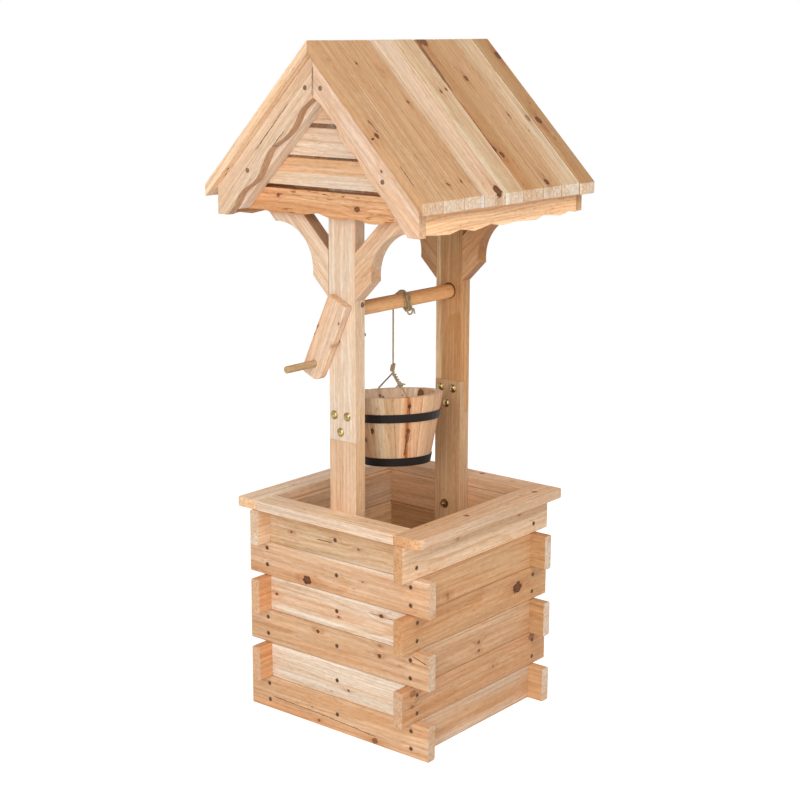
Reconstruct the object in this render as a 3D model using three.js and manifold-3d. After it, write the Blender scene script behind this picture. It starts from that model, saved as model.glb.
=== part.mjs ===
// Wishing well planter in millimetres: X runs across the gable front, Y to the back, Z up.
// The origin is on the ground at the middle of the box.

import * as THREE from 'three';
import { mergeVertices } from 'three/addons/utils/BufferGeometryUtils.js';
import Module from 'manifold-3d';

const wasm = await Module();
wasm.setup();

// Fits
const seam = 0.3;
const runningClearance = 0.4;
const overrun = 5;

// Box of interlocking boards
const courseCount = 6;
const courseHeight = 63.5;
const boardThickness = 19;
const boxHalfWidth = 173.5;
const boxHalfDepth = 178;
const cornerOverhang = 31;
const boardEase = 2.6;
const easeSegments = 2;

// Rim boards on the box
const rimThickness = 17.7;
const rimOverhangX = 33.5;
const rimOverhangY = 28;
const rimLeftWidth = 46;
const rimRightWidth = 56;
const rimCornerRadius = 17;
const rimSquareCornerRadius = 5;
const rimInnerCornerRadius = 4;
const rimEase = 1.6;
const rimCornerSegments = 5;

// Floor slats in the box
const floorSlatCount = 4;
const floorSlatGap = 8;
const floorSlatThickness = 12.7;
const floorCleatHeight = 19;
const floorCleatWidth = 19;
const floorCleatCount = 3;
const floorCleatInset = 36;
const floorPlay = 0.4;

// Posts, half-lapped where the upper one stands on the lower one
const postWidth = 58.4;
const postThickness = 25.4;
const postEase = 1.5;
const lapBelowAxle = 222.3;
const lapLength = 58.4;

// Roof
const ridgeHeight = 1190.5;
const roofRise = 240.5;
const roofHalfSpan = 235.9;
const roofOverBarge = 13.5;
const roofOverFascia = 17.4;
const roofPlumbThickness = 21;
const roofBoardCount = 9;
const roofGrooveWidth = 2.6;
const roofGrooveDepth = 2.2;
const ridgeBoardThickness = 19;
const ridgeBoardDepth = 63.5;

// Gable ends, from the posts outwards: slats, rafters, barge boards
const slatThickness = 24.8;
const slatHeight = 46.3;
const slatGaps = [6.8, 4, 7.2];
const slatInset = 12;
const rafterThickness = 25.4;
const rafterPlumbDepth = 72;
const bargeThickness = 16.8;
const bargePlumbDepth = 76.5;
const bargeTailRight = 54.2;
const bargeTailLeft = 46.7;
const fasciaBelowEave = 3.5;
const fasciaDepth = 45;
const eaveFasciaThickness = 16;
const eaveFasciaDepth = 54;

// Scalloped lower edges: share of the run from the ridge, then share of the depth
const bargeRightShares = [
  [0, 0.888], [0.05, 0.83], [0.105, 0.804], [0.215, 0.83], [0.279, 0.935], [0.348, 0.908],
  [0.426, 0.863], [0.48, 0.935], [0.531, 0.967], [0.664, 0.935], [0.728, 0.935], [0.833, 1],
];
const bargeLeftShares = [
  [0, 0.9], [0.092, 0.824], [0.137, 0.83], [0.174, 0.908], [0.233, 0.948], [0.32, 0.882],
  [0.421, 0.752], [0.467, 0.752], [0.513, 0.856], [0.558, 0.948], [0.618, 0.961],
  [0.709, 0.843], [0.769, 0.824], [0.819, 0.908],
];
// Share of the half width from the middle, then share of the depth
const fasciaShares = [
  [-1, 0.9], [-0.79, 0.842], [-0.648, 0.927], [-0.455, 0.889], [-0.361, 0.927], [-0.203, 0.833],
  [-0.158, 0.789], [-0.05, 0.909], [0.1, 0.96], [0.247, 0.878], [0.366, 0.989], [0.455, 1],
  [0.529, 0.967], [0.613, 0.856], [0.683, 0.844], [1, 0.93],
];
const eaveFasciaShares = [
  [-1, 0.928], [-0.717, 1], [-0.574, 0.896], [-0.397, 1], [-0.182, 0.869], [-0.053, 0.957],
  [0.148, 0.92], [0.43, 0.95], [0.526, 0.85], [0.77, 0.931], [0.894, 0.839], [1, 0.89],
];
const wavePointsPerShare = 2;

// Braces between the posts and the eaves
const braceHeelBelowEave = 182.5;
const bracePlumbWidth = 80;
const braceInset = 17.5;
const braceEndHeight = 23.5;
const braceBiteRadius = 76;
const braceBiteDepth = 29;
const bracePlaceShare = 0.496;
const arcSegments = 14;

// Windlass
const axleBelowEave = 204;
const axleRadius = 12.7;
const axleBackStub = 6;
const axleHousing = 9;
const roundSegments = 28;
const armThickness = 16;
const armStandOff = 0.7;
const armWidth = 43.8;
const armAside = -5.3;
const armAbove = 20.4;
const armBelow = 129;
const armLean = 24.8;
const armEase = 1.2;
const armHandleCornerRadius = 17;
const armOuterCornerRadius = 7;
const handleRadius = 6.35;
const handleLength = 69;
const handleHousing = 12;
const handlePlace = 103.5;
const handleEase = 1.2;
const handleSegments = 20;

// Jute rope
const ropeRadius = 1.6;
const ropeSides = 8;
const coilSides = 6;
const ropeY = -6.2;
const ropeLead = 7;
const coilTurns = 4.75;
const coilPitch = 4.36;
const coilStepsPerTurn = 24;
const loopRadius = 7;
const loopLean = 37;
const loopSweep = 285;
const knotTopAboveRim = 52.2;
const knotHeight = 13.7;
const knotRadius = 5.6;
const knotSegments = 14;
const lowerKnotRadius = 4.6;
const lowerKnotHeight = 12;
const lowerKnotShare = 0.34;
const doubledStartShare = 0.12;
const leftLegShares = [0.5, 0.93];
const rightLegShares = [0.08, 0.7];
const tailLength = 13;
const tailSteps = 4;
const bailSteps = 56;
const doubledSteps = 8;

// Bucket, in its own frame with the rim's middle at the origin and the bail along x
const bucketX = -14.3;
const bucketY = -3;
const bucketRimBelowAxle = 166.2;
const bucketTilt = 6.4;
const bailHeading = -32.2;
const bucketRimRadius = 86.8;
const bucketFootRadius = 58.4;
const bucketHeight = 124;
const staveThickness = 15;
const staveCount = 10;
const staveSeamTurn = -18.7;
const staveSeamDepth = 1.1;
const facetsPerStave = 4;
const bucketFloorRise = 10;
const bucketFloorThickness = 10;
const bailHoleDrop = 16;
const bailHoleRadius = 4;
const bailRimLift = 0.9;
const hoopThickness = 1.3;
const hoopHeight = 14.7;
const upperHoopDrop = 30.2;
const lowerHoopDrop = 108.8;

// Places worked out from the sizes above
const boxHeight = courseCount * courseHeight;
const rimHalfWidth = boxHalfWidth + rimOverhangX;
const rimHalfDepth = boxHalfDepth + rimOverhangY;
const innerHalfWidth = boxHalfWidth - boardThickness;
const innerHalfDepth = boxHalfDepth - boardThickness;
const postOuter = innerHalfDepth - seam;
const postInner = postOuter - postThickness;
const postHalfWidth = postWidth / 2;
const eaveHeight = ridgeHeight - roofRise;
const roofPitch = roofRise / roofHalfSpan;
const slatBack = postOuter + seam;
const slatFront = slatBack + slatThickness;
const rafterFront = slatFront + rafterThickness;
const bargeBack = rafterFront + seam;
const roofHalfLength = bargeBack + bargeThickness + roofOverBarge;
const bargeHalfSpan = roofHalfSpan - roofOverFascia;
const eaveFasciaInner = bargeHalfSpan - eaveFasciaThickness;
const fasciaTop = eaveHeight - fasciaBelowEave;
const braceHeel = eaveHeight - braceHeelBelowEave;
const braceReach = eaveFasciaInner - braceInset;
const axleHeight = eaveHeight - axleBelowEave;
const lapFoot = axleHeight - lapBelowAxle;
const bucketRimHeight = axleHeight - bucketRimBelowAxle;
const knotTop = bucketRimHeight + knotTopAboveRim;
const armBack = postOuter + armStandOff;
const armFront = armBack + armThickness;
const coilRadius = axleRadius + seam + ropeRadius;
const ropeX = -coilRadius;
const bucketSlope = (bucketRimRadius - bucketFootRadius) / bucketHeight;

// Finishes
const cedar = new THREE.MeshStandardMaterial({ color: 0xd9b48a, roughness: 0.75, metalness: 0 });
const cedarDark = new THREE.MeshStandardMaterial({ color: 0xc7976a, roughness: 0.75, metalness: 0 });
const hoopPaint = new THREE.MeshStandardMaterial({ color: 0x1b1815, roughness: 0.45, metalness: 0.4 });
const jute = new THREE.MeshStandardMaterial({ color: 0xa08a68, roughness: 0.95, metalness: 0 });

const planter = new THREE.Group();

function addPiece(name, geometry, material, parent = planter) {
  const mesh = new THREE.Mesh(geometry, material);
  mesh.name = name;
  parent.add(mesh);
  return mesh;
}

// Height of the roof's underside above a point of the given x
function underRoof(x) {
  return ridgeHeight - roofPlumbThickness - seam - roofPitch * Math.abs(x);
}

// Solids for cutting and joining
function solidOf(geometry) {
  const bare = geometry.clone();
  bare.deleteAttribute('normal');
  bare.deleteAttribute('uv');
  const merged = mergeVertices(bare);
  const vertProperties = Float32Array.from(merged.attributes.position.array);
  const triVerts = Uint32Array.from(merged.index.array);
  return new wasm.Manifold(new wasm.Mesh({ numProp: 3, vertProperties, triVerts }));
}

function geometryOf(solid) {
  const mesh = solid.getMesh();
  const geometry = new THREE.BufferGeometry();
  geometry.setAttribute('position', new THREE.BufferAttribute(mesh.vertProperties, 3));
  geometry.setIndex(new THREE.BufferAttribute(mesh.triVerts, 1));
  geometry.computeVertexNormals();
  return geometry;
}

function cut(geometry, ...cutters) {
  let solid = solidOf(geometry);
  for (const cutter of cutters) {
    solid = solid.subtract(solidOf(cutter));
  }
  return geometryOf(solid);
}

function join(...geometries) {
  let solid = solidOf(geometries[0]);
  for (const geometry of geometries.slice(1)) {
    solid = solid.add(solidOf(geometry));
  }
  return geometryOf(solid);
}

// Rectangular block between two corners
function block(low, high) {
  const geometry = new THREE.BoxGeometry(high[0] - low[0], high[1] - low[1], high[2] - low[2]);
  const middle = low.map((value, axis) => (value + high[axis]) / 2);
  return geometry.translate(...middle);
}

// Outline with each corner rounded: corners are [x, y, radius] in counter-clockwise order
function roundedOutline(corners) {
  const shape = new THREE.Shape();
  corners.forEach(([x, y, radius], index) => {
    const before = corners.at(index - 1);
    const after = corners[(index + 1) % corners.length];
    const corner = new THREE.Vector2(x, y);
    const entry = new THREE.Vector2(before[0] - x, before[1] - y).setLength(radius).add(corner);
    const exit = new THREE.Vector2(after[0] - x, after[1] - y).setLength(radius).add(corner);
    if (index === 0) {
      shape.moveTo(entry.x, entry.y);
    } else {
      shape.lineTo(entry.x, entry.y);
    }
    shape.quadraticCurveTo(x, y, exit.x, exit.y);
  });
  return shape;
}

// Plank between two corners, its four long edges eased; the grain runs along x, y or z
function plank(low, high, grain, ease) {
  const along = { x: 0, y: 1, z: 2 }[grain];
  const across = (along + 1) % 3;
  const upright = (along + 2) % 3;
  const shape = roundedOutline([
    [low[across], low[upright], ease],
    [high[across], low[upright], ease],
    [high[across], high[upright], ease],
    [low[across], high[upright], ease],
  ]);
  const depth = high[along] - low[along];
  const options = { depth, bevelEnabled: false, curveSegments: easeSegments };
  const geometry = new THREE.ExtrudeGeometry(shape, options);
  const axes = [new THREE.Vector3(), new THREE.Vector3(), new THREE.Vector3()];
  axes[0].setComponent(across, 1);
  axes[1].setComponent(upright, 1);
  axes[2].setComponent(along, 1);
  geometry.applyMatrix4(new THREE.Matrix4().makeBasis(...axes));
  const place = new THREE.Vector3().setComponent(along, low[along]);
  return geometry.translate(place.x, place.y, place.z);
}

// Slab whose outline lies in x and z, between two places along y
function uprightSlab(shape, yLow, yHigh) {
  const geometry = new THREE.ExtrudeGeometry(shape, {
    depth: yHigh - yLow,
    bevelEnabled: false,
    curveSegments: arcSegments,
  });
  return geometry.rotateX(Math.PI / 2).translate(0, yHigh, 0);
}

// Everything above the roof's underside, which trims the pieces that meet the roof
function roofCutter(yLow, yHigh) {
  const reach = roofHalfSpan + overrun;
  const shape = new THREE.Shape([
    new THREE.Vector2(-reach, underRoof(reach)),
    new THREE.Vector2(0, underRoof(0)),
    new THREE.Vector2(reach, underRoof(reach)),
    new THREE.Vector2(reach, ridgeHeight + overrun),
    new THREE.Vector2(-reach, ridgeHeight + overrun),
  ]);
  return uprightSlab(shape, yLow - overrun, yHigh + overrun);
}

// Smooth line through hand-placed points
function waveThrough(points) {
  return new THREE.SplineCurve(points).getPoints((points.length - 1) * wavePointsPerShare);
}

// Six courses: odd ones have long front and back boards, even ones long side boards
function addBox() {
  const longX = boxHalfWidth + cornerOverhang;
  const longY = boxHalfDepth + cornerOverhang;
  const shortX = innerHalfWidth - seam;
  const shortY = innerHalfDepth - seam;
  for (let course = 1; course <= courseCount; course += 1) {
    const frontIsLong = course % 2 === 1;
    const halfX = frontIsLong ? longX : shortX;
    const halfY = frontIsLong ? shortY : longY;
    const zLow = (course - 1) * courseHeight;
    const zHigh = course * courseHeight - seam;
    const boards = [
      ['box_front', [-halfX, -boxHalfDepth, zLow], [halfX, -innerHalfDepth, zHigh], 'x'],
      ['box_back', [-halfX, innerHalfDepth, zLow], [halfX, boxHalfDepth, zHigh], 'x'],
      ['box_left', [-boxHalfWidth, -halfY, zLow], [-innerHalfWidth, halfY, zHigh], 'y'],
      ['box_right', [innerHalfWidth, -halfY, zLow], [boxHalfWidth, halfY, zHigh], 'y'],
    ];
    for (const [side, low, high, grain] of boards) {
      addPiece(`${side}_${course}`, plank(low, high, grain, boardEase), cedar);
    }
  }
}

// Flat board from a plan outline, with its top and bottom edges eased
function rimBoard(corners) {
  const geometry = new THREE.ExtrudeGeometry(roundedOutline(corners), {
    depth: rimThickness - 2 * rimEase,
    bevelThickness: rimEase,
    bevelSize: rimEase,
    bevelOffset: -rimEase,
    bevelSegments: 1,
    curveSegments: rimCornerSegments,
  });
  return geometry.translate(0, 0, boxHeight + rimEase);
}

// The side boards run the full depth, and the front and back boards fit between them
function addRim() {
  const leftInner = -rimHalfWidth + rimLeftWidth;
  const rightInner = rimHalfWidth - rimRightWidth;
  const inner = postOuter + seam;
  const square = rimInnerCornerRadius;
  addPiece('rim_left', rimBoard([
    [-rimHalfWidth, -rimHalfDepth, rimSquareCornerRadius],
    [leftInner, -rimHalfDepth, square],
    [leftInner, rimHalfDepth, square],
    [-rimHalfWidth, rimHalfDepth, rimSquareCornerRadius],
  ]), cedar);
  addPiece('rim_right', rimBoard([
    [rightInner, -rimHalfDepth, square],
    [rimHalfWidth, -rimHalfDepth, rimCornerRadius],
    [rimHalfWidth, rimHalfDepth, rimSquareCornerRadius],
    [rightInner, rimHalfDepth, square],
  ]), cedar);
  for (const [name, yLow, yHigh] of [
    ['rim_front', -rimHalfDepth, -inner],
    ['rim_back', inner, rimHalfDepth],
  ]) {
    addPiece(name, rimBoard([
      [leftInner + seam, yLow, square],
      [rightInner - seam, yLow, square],
      [rightInner - seam, yHigh, square],
      [leftInner + seam, yHigh, square],
    ]), cedar);
  }
}

// Slats along x on three cleats that stand on the ground
function addFloor() {
  const halfX = innerHalfWidth - floorPlay;
  const halfY = postInner - floorPlay;
  const slatWidth = (2 * halfY - (floorSlatCount - 1) * floorSlatGap) / floorSlatCount;
  const top = floorCleatHeight + floorSlatThickness;
  const pieces = [];
  for (let index = 0; index < floorCleatCount; index += 1) {
    const share = index / (floorCleatCount - 1);
    const x = THREE.MathUtils.lerp(floorCleatInset - halfX, halfX - floorCleatInset, share);
    const half = floorCleatWidth / 2;
    pieces.push(block([x - half, -halfY, 0], [x + half, halfY, floorCleatHeight]));
  }
  for (let index = 0; index < floorSlatCount; index += 1) {
    const y = -halfY + index * (slatWidth + floorSlatGap);
    pieces.push(block([-halfX, y, floorCleatHeight], [halfX, y + slatWidth, top]));
  }
  addPiece('planter_floor', join(...pieces), cedarDark);
}

function axleBore(yLow, yHigh) {
  const radius = axleRadius + runningClearance;
  const length = yHigh - yLow;
  const geometry = new THREE.CylinderGeometry(radius, radius, length, roundSegments);
  return geometry.translate(0, yLow + length / 2, axleHeight);
}

// Lower and upper halves of one post; side is -1 at the front and 1 at the back
function addPost(end, side) {
  const yLow = side < 0 ? -postOuter : postInner;
  const yHigh = yLow + postThickness;
  const yMiddle = yLow + postThickness / 2;
  const far = postOuter + overrun;
  const lapTop = lapFoot + lapLength;
  const outerHalf = side < 0 ? [-far, yMiddle] : [yMiddle, far];
  const innerHalf = side < 0 ? [yMiddle - seam, yHigh + overrun] : [yLow - overrun, yMiddle + seam];
  const wide = postHalfWidth + overrun;
  const lower = plank([-postHalfWidth, yLow, 0], [postHalfWidth, yHigh, lapTop], 'z', postEase);
  const lowerLap = block([-wide, outerHalf[0], lapFoot - seam], [wide, outerHalf[1], lapTop + overrun]);
  addPiece(`post_${end}_lower`, cut(lower, lowerLap), cedar);
  const upper = plank([-postHalfWidth, yLow, lapFoot], [postHalfWidth, yHigh, ridgeHeight], 'z', postEase);
  const upperLap = block([-wide, innerHalf[0], lapFoot - overrun], [wide, innerHalf[1], lapTop + seam]);
  const bore = axleBore(yLow - overrun, yHigh + overrun);
  addPiece(`post_${end}_upper`, cut(upper, upperLap, roofCutter(yLow, yHigh), bore), cedar);
}

// One slope, still level: the cross-section along y carries the V joints, and the run goes along x
function roofSlope() {
  const pitchBoard = (2 * roofHalfLength) / roofBoardCount;
  const top = ridgeHeight;
  const bottom = ridgeHeight - roofPlumbThickness;
  const points = [new THREE.Vector2(-roofHalfLength, bottom), new THREE.Vector2(roofHalfLength, bottom)];
  points.push(new THREE.Vector2(roofHalfLength, top));
  for (let joint = roofBoardCount - 1; joint > 0; joint -= 1) {
    const y = -roofHalfLength + joint * pitchBoard;
    points.push(new THREE.Vector2(y + roofGrooveWidth / 2, top));
    points.push(new THREE.Vector2(y, top - roofGrooveDepth));
    points.push(new THREE.Vector2(y - roofGrooveWidth / 2, top));
  }
  points.push(new THREE.Vector2(-roofHalfLength, top));
  const run = roofHalfSpan - seam / 2;
  const geometry = new THREE.ExtrudeGeometry(new THREE.Shape(points), { depth: run, bevelEnabled: false });
  geometry.rotateZ(Math.PI / 2).rotateY(Math.PI / 2);
  return geometry;
}

// Two slopes that meet at the ridge, and the board between the posts below it
function addRoof() {
  for (const [name, side] of [['roof_right', 1], ['roof_left', -1]]) {
    const geometry = roofSlope();
    geometry.translate(seam / 2, 0, 0);
    const shear = new THREE.Matrix4().makeShear(0, -roofPitch, 0, 0, 0, 0);
    geometry.applyMatrix4(shear);
    if (side < 0) {
      geometry.rotateZ(Math.PI);
    }
    addPiece(name, geometry, cedar);
  }
  const half = ridgeBoardThickness / 2;
  const end = postInner - seam;
  const boardFoot = underRoof(0) - ridgeBoardDepth;
  const board = plank([-half, -end, boardFoot], [half, end, ridgeHeight], 'y', postEase);
  addPiece('ridge_board', cut(board, roofCutter(-end, end)), cedarDark);
}

// Barge board: straight along the roof, scalloped below, plumb at the eave
function bargeOutline(shares, tail, side) {
  const start = seam / 2;
  const run = bargeHalfSpan - start;
  const wave = waveThrough(shares.map(([along, deep]) => {
    const x = start + along * run;
    return new THREE.Vector2(x, underRoof(x) - deep * bargePlumbDepth);
  }));
  const foot = underRoof(bargeHalfSpan) - tail;
  const points = wave.filter((point) => point.y > foot);
  points.push(new THREE.Vector2(points.at(-1).x + (points.at(-1).y - foot) / roofPitch, foot));
  points.push(new THREE.Vector2(bargeHalfSpan, foot));
  points.push(new THREE.Vector2(bargeHalfSpan, underRoof(bargeHalfSpan)));
  points.push(new THREE.Vector2(start, underRoof(start)));
  const placed = points.map((point) => new THREE.Vector2(point.x * side, point.y));
  return new THREE.Shape(side < 0 ? placed.reverse() : placed);
}

function addBargeBoards(end, facing) {
  const boards = [
    ['right', bargeRightShares, bargeTailRight, 1],
    ['left', bargeLeftShares, bargeTailLeft, -1],
  ];
  for (const [hand, shares, tail, side] of boards) {
    const outline = bargeOutline(shares, tail, side);
    const geometry = uprightSlab(outline, -bargeBack - bargeThickness, -bargeBack);
    addPiece(`barge_${end}_${hand}`, geometry, cedar, facing);
  }
}

// Horizontal slat between the rafters, its ends on the roof's slope
function slatOutline(zLow, zHigh) {
  const apex = underRoof(0) - slatInset;
  const halfLow = (apex - zLow) / roofPitch;
  const halfHigh = Math.max((apex - zHigh) / roofPitch, 0);
  const points = [new THREE.Vector2(-halfLow, zLow), new THREE.Vector2(halfLow, zLow)];
  points.push(new THREE.Vector2(halfHigh, zHigh));
  if (halfHigh > 0) {
    points.push(new THREE.Vector2(-halfHigh, zHigh));
  }
  return new THREE.Shape(points);
}

// A pair of rafters with the gable slats that they carry
function addGableFrame(end, facing) {
  const tail = eaveFasciaInner - seam;
  const rafters = new THREE.Shape([
    new THREE.Vector2(-tail, underRoof(tail) - rafterPlumbDepth),
    new THREE.Vector2(0, underRoof(0) - rafterPlumbDepth),
    new THREE.Vector2(tail, underRoof(tail) - rafterPlumbDepth),
    new THREE.Vector2(tail, underRoof(tail)),
    new THREE.Vector2(0, underRoof(0)),
    new THREE.Vector2(-tail, underRoof(tail)),
  ]);
  const pieces = [uprightSlab(rafters, -rafterFront, -slatFront)];
  let level = fasciaTop;
  slatGaps.forEach((gap, index) => {
    const last = index === slatGaps.length - 1;
    const zLow = level + gap;
    const zHigh = last ? underRoof(0) - slatInset : zLow + slatHeight;
    pieces.push(uprightSlab(slatOutline(zLow, zHigh), -slatFront, -slatBack));
    level = zHigh;
  });
  addPiece(`gable_frame_${end}`, join(...pieces), cedar, facing);
}

// Scalloped board under the slats
function addGableFascia(end, facing) {
  const half = eaveFasciaInner - seam;
  const wave = waveThrough(fasciaShares.map(([along, deep]) => (
    new THREE.Vector2(along * half, fasciaTop - deep * fasciaDepth)
  )));
  const shape = new THREE.Shape([
    ...wave,
    new THREE.Vector2(half, fasciaTop),
    new THREE.Vector2(-half, fasciaTop),
  ]);
  const geometry = uprightSlab(shape, -slatFront + seam, -slatBack);
  addPiece(`gable_fascia_${end}`, geometry, cedar, facing);
}

// Scalloped board under each eave, its top trimmed to the roof
function addEaveFascias() {
  const top = underRoof(eaveFasciaInner) + overrun;
  const level = underRoof(bargeHalfSpan);
  for (const [name, side] of [['eave_fascia_right', 1], ['eave_fascia_left', -1]]) {
    const wave = waveThrough(eaveFasciaShares.map(([along, deep]) => (
      new THREE.Vector2(along * rafterFront, level - deep * eaveFasciaDepth)
    )));
    const shape = new THREE.Shape([
      ...wave,
      new THREE.Vector2(rafterFront, top),
      new THREE.Vector2(-rafterFront, top),
    ]);
    const board = new THREE.ExtrudeGeometry(shape, { depth: eaveFasciaThickness, bevelEnabled: false });
    board.rotateZ(Math.PI / 2).rotateY(Math.PI / 2).translate(eaveFasciaInner, 0, 0);
    if (side < 0) {
      board.rotateZ(Math.PI);
    }
    addPiece(name, cut(board, roofCutter(-rafterFront, rafterFront)), cedar);
  }
}

// Diagonal brace with a round bite out of its outer edge
function braceOutline() {
  const heel = new THREE.Vector2(postHalfWidth + seam, braceHeel);
  const toe = new THREE.Vector2(braceReach, fasciaTop - braceEndHeight);
  const along = toe.clone().sub(heel).normalize();
  const outward = new THREE.Vector2(along.y, -along.x);
  const middle = heel.clone().lerp(toe, bracePlaceShare);
  const toCentre = braceBiteRadius - braceBiteDepth;
  const centre = middle.addScaledVector(outward, toCentre);
  const half = Math.acos(toCentre / braceBiteRadius);
  const facing = outward.clone().negate().angle();
  const topRun = ((fasciaTop - braceHeel - bracePlumbWidth) * along.x) / along.y;
  const shape = new THREE.Shape();
  shape.moveTo(heel.x, braceHeel + bracePlumbWidth);
  shape.lineTo(heel.x, heel.y);
  shape.absarc(centre.x, centre.y, braceBiteRadius, facing + half, facing - half, true);
  shape.lineTo(toe.x, toe.y);
  shape.lineTo(braceReach, fasciaTop);
  shape.lineTo(heel.x + topRun, fasciaTop);
  return shape;
}

function addBraces(end, facing) {
  const geometry = uprightSlab(braceOutline(), -postOuter, -postInner);
  addPiece(`brace_${end}_right`, geometry, cedar, facing);
  const mirrored = new THREE.Shape(braceOutline().getPoints(arcSegments).reverse()
    .map((point) => new THREE.Vector2(-point.x, point.y)));
  addPiece(`brace_${end}_left`, uprightSlab(mirrored, -postOuter, -postInner), cedar, facing);
}

// Crank arm about the axle's end, in a frame that leans with it: x across, z along the arm
function crankArm() {
  const half = armWidth / 2 - armEase;
  const shape = roundedOutline([
    [armAside - half, armEase - armBelow, armOuterCornerRadius],
    [armAside + half, armEase - armBelow, armHandleCornerRadius],
    [armAside + half, armAbove - armEase, armEase],
    [armAside - half, armAbove - armEase, armEase],
  ]);
  const plate = new THREE.ExtrudeGeometry(shape, {
    depth: armThickness - 2 * armEase,
    bevelThickness: armEase,
    bevelSize: armEase,
    bevelSegments: 1,
    curveSegments: arcSegments / 2,
  });
  plate.rotateX(Math.PI / 2).translate(0, -armBack - armEase, 0);
  const socketRadius = axleRadius + seam;
  const socketDepth = axleHousing + overrun + seam;
  const socket = new THREE.CylinderGeometry(socketRadius, socketRadius, socketDepth, roundSegments);
  socket.translate(0, socketDepth / 2 - armBack - axleHousing - seam, 0);
  const holeRadius = handleRadius + seam;
  const holeDepth = handleHousing + overrun + seam;
  const hole = new THREE.CylinderGeometry(holeRadius, holeRadius, holeDepth, handleSegments);
  hole.translate(armAside, handleHousing + seam - armFront - holeDepth / 2, -handlePlace);
  return cut(plate, socket, hole);
}

// Round handle with an eased outer end
function crankHandle() {
  const length = handleHousing + handleLength;
  const profile = [
    new THREE.Vector2(0, 0),
    new THREE.Vector2(handleRadius - handleEase, 0),
    new THREE.Vector2(handleRadius, handleEase),
    new THREE.Vector2(handleRadius, length),
    new THREE.Vector2(0, length),
  ];
  const geometry = new THREE.LatheGeometry(profile, handleSegments);
  return geometry.translate(armAside, -armFront - handleLength, -handlePlace);
}

function addWindlass() {
  const axleLow = -armBack - axleHousing;
  const axleLength = postOuter + axleBackStub - axleLow;
  const axle = new THREE.CylinderGeometry(axleRadius, axleRadius, axleLength, roundSegments);
  addPiece('axle', axle.translate(0, axleLow + axleLength / 2, axleHeight), cedarDark);
  const crank = new THREE.Group();
  crank.position.z = axleHeight;
  crank.rotation.y = THREE.MathUtils.degToRad(armLean);
  planter.add(crank);
  addPiece('crank_arm', crankArm(), cedar, crank);
  addPiece('crank_handle', crankHandle(), cedarDark, crank);
}

// Rope on the axle: a short lead up from the hanging line, turns, then a loop that hangs below
class HitchCurve extends THREE.Curve {
  constructor() {
    super();
    this.coilLength = 2 * Math.PI * coilRadius * coilTurns;
    this.loopLength = THREE.MathUtils.degToRad(loopSweep) * loopRadius;
    this.arcLengthDivisions = coilTurns * coilStepsPerTurn * coilStepsPerTurn;
  }

  coilPoint(share) {
    const turn = share * coilTurns;
    const angle = 2 * Math.PI * turn;
    const x = -coilRadius * Math.cos(angle);
    const z = axleHeight + coilRadius * Math.sin(angle);
    return new THREE.Vector3(x, ropeY + turn * coilPitch, z);
  }

  loopPoint(share) {
    const lean = THREE.MathUtils.degToRad(loopLean);
    const angle = THREE.MathUtils.degToRad(loopSweep) * share;
    const down = new THREE.Vector3(0, Math.sin(lean), -Math.cos(lean));
    const point = this.coilPoint(1).addScaledVector(down, loopRadius * (1 - Math.cos(angle)));
    point.x -= loopRadius * Math.sin(angle);
    return point;
  }

  getPoint(t) {
    const along = t * (ropeLead + this.coilLength + this.loopLength);
    if (along < ropeLead) {
      return new THREE.Vector3(ropeX, ropeY, axleHeight - ropeLead + along);
    }
    if (along < ropeLead + this.coilLength) {
      return this.coilPoint((along - ropeLead) / this.coilLength);
    }
    return this.loopPoint((along - ropeLead - this.coilLength) / this.loopLength);
  }
}

// Tube of a round section along a curve
function tube(curve, radius, sides, steps) {
  const section = new THREE.Shape();
  for (let side = 0; side < sides; side += 1) {
    const angle = (2 * Math.PI * side) / sides;
    const point = [radius * Math.cos(angle), radius * Math.sin(angle)];
    if (side === 0) {
      section.moveTo(...point);
    } else {
      section.lineTo(...point);
    }
  }
  return new THREE.ExtrudeGeometry(section, { steps, extrudePath: curve });
}

// Least free gap between stretches of one rope that aren't neighbours along it
function leastGap(curve, diameter) {
  const samples = curve.getSpacedPoints(2 * Math.round(coilTurns * coilStepsPerTurn));
  const spacing = curve.getLength() / (samples.length - 1);
  const apart = Math.ceil((2 * diameter) / spacing);
  let least = Infinity;
  for (let first = 0; first < samples.length; first += 1) {
    for (let second = first + apart; second < samples.length; second += 1) {
      const run = (second - first) * spacing;
      const gap = samples[first].distanceTo(samples[second]);
      if (gap < run * Math.SQRT1_2) {
        least = Math.min(least, gap - diameter);
      }
    }
  }
  return least;
}

function knot(radius, height) {
  const geometry = new THREE.SphereGeometry(radius, knotSegments, knotSegments / 2);
  geometry.rotateX(Math.PI / 2);
  return geometry.scale(1, 1, height / (2 * radius));
}

function addRope() {
  const hitch = new HitchCurve();
  const steps = Math.round(coilTurns * coilStepsPerTurn + coilStepsPerTurn);
  addPiece('rope_wrap', tube(hitch, ropeRadius, coilSides, steps), jute);
  console.log(`rope wrap: least gap ${leastGap(hitch, 2 * ropeRadius).toFixed(2)} mm`);
  const lineTop = axleHeight - ropeLead - seam;
  const lineFoot = knotTop + seam;
  const line = new THREE.LineCurve3(
    new THREE.Vector3(ropeX, ropeY, lineTop),
    new THREE.Vector3(ropeX, ropeY, lineFoot),
  );
  const lineSteps = Math.round((lineTop - lineFoot) / (ropeSides * ropeRadius));
  addPiece('rope_line', tube(line, ropeRadius, ropeSides, lineSteps), jute);
  const lump = knot(knotRadius, knotHeight);
  addPiece('rope_knot', lump.translate(ropeX, ropeY, knotTop - knotHeight / 2), jute);
}

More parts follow.
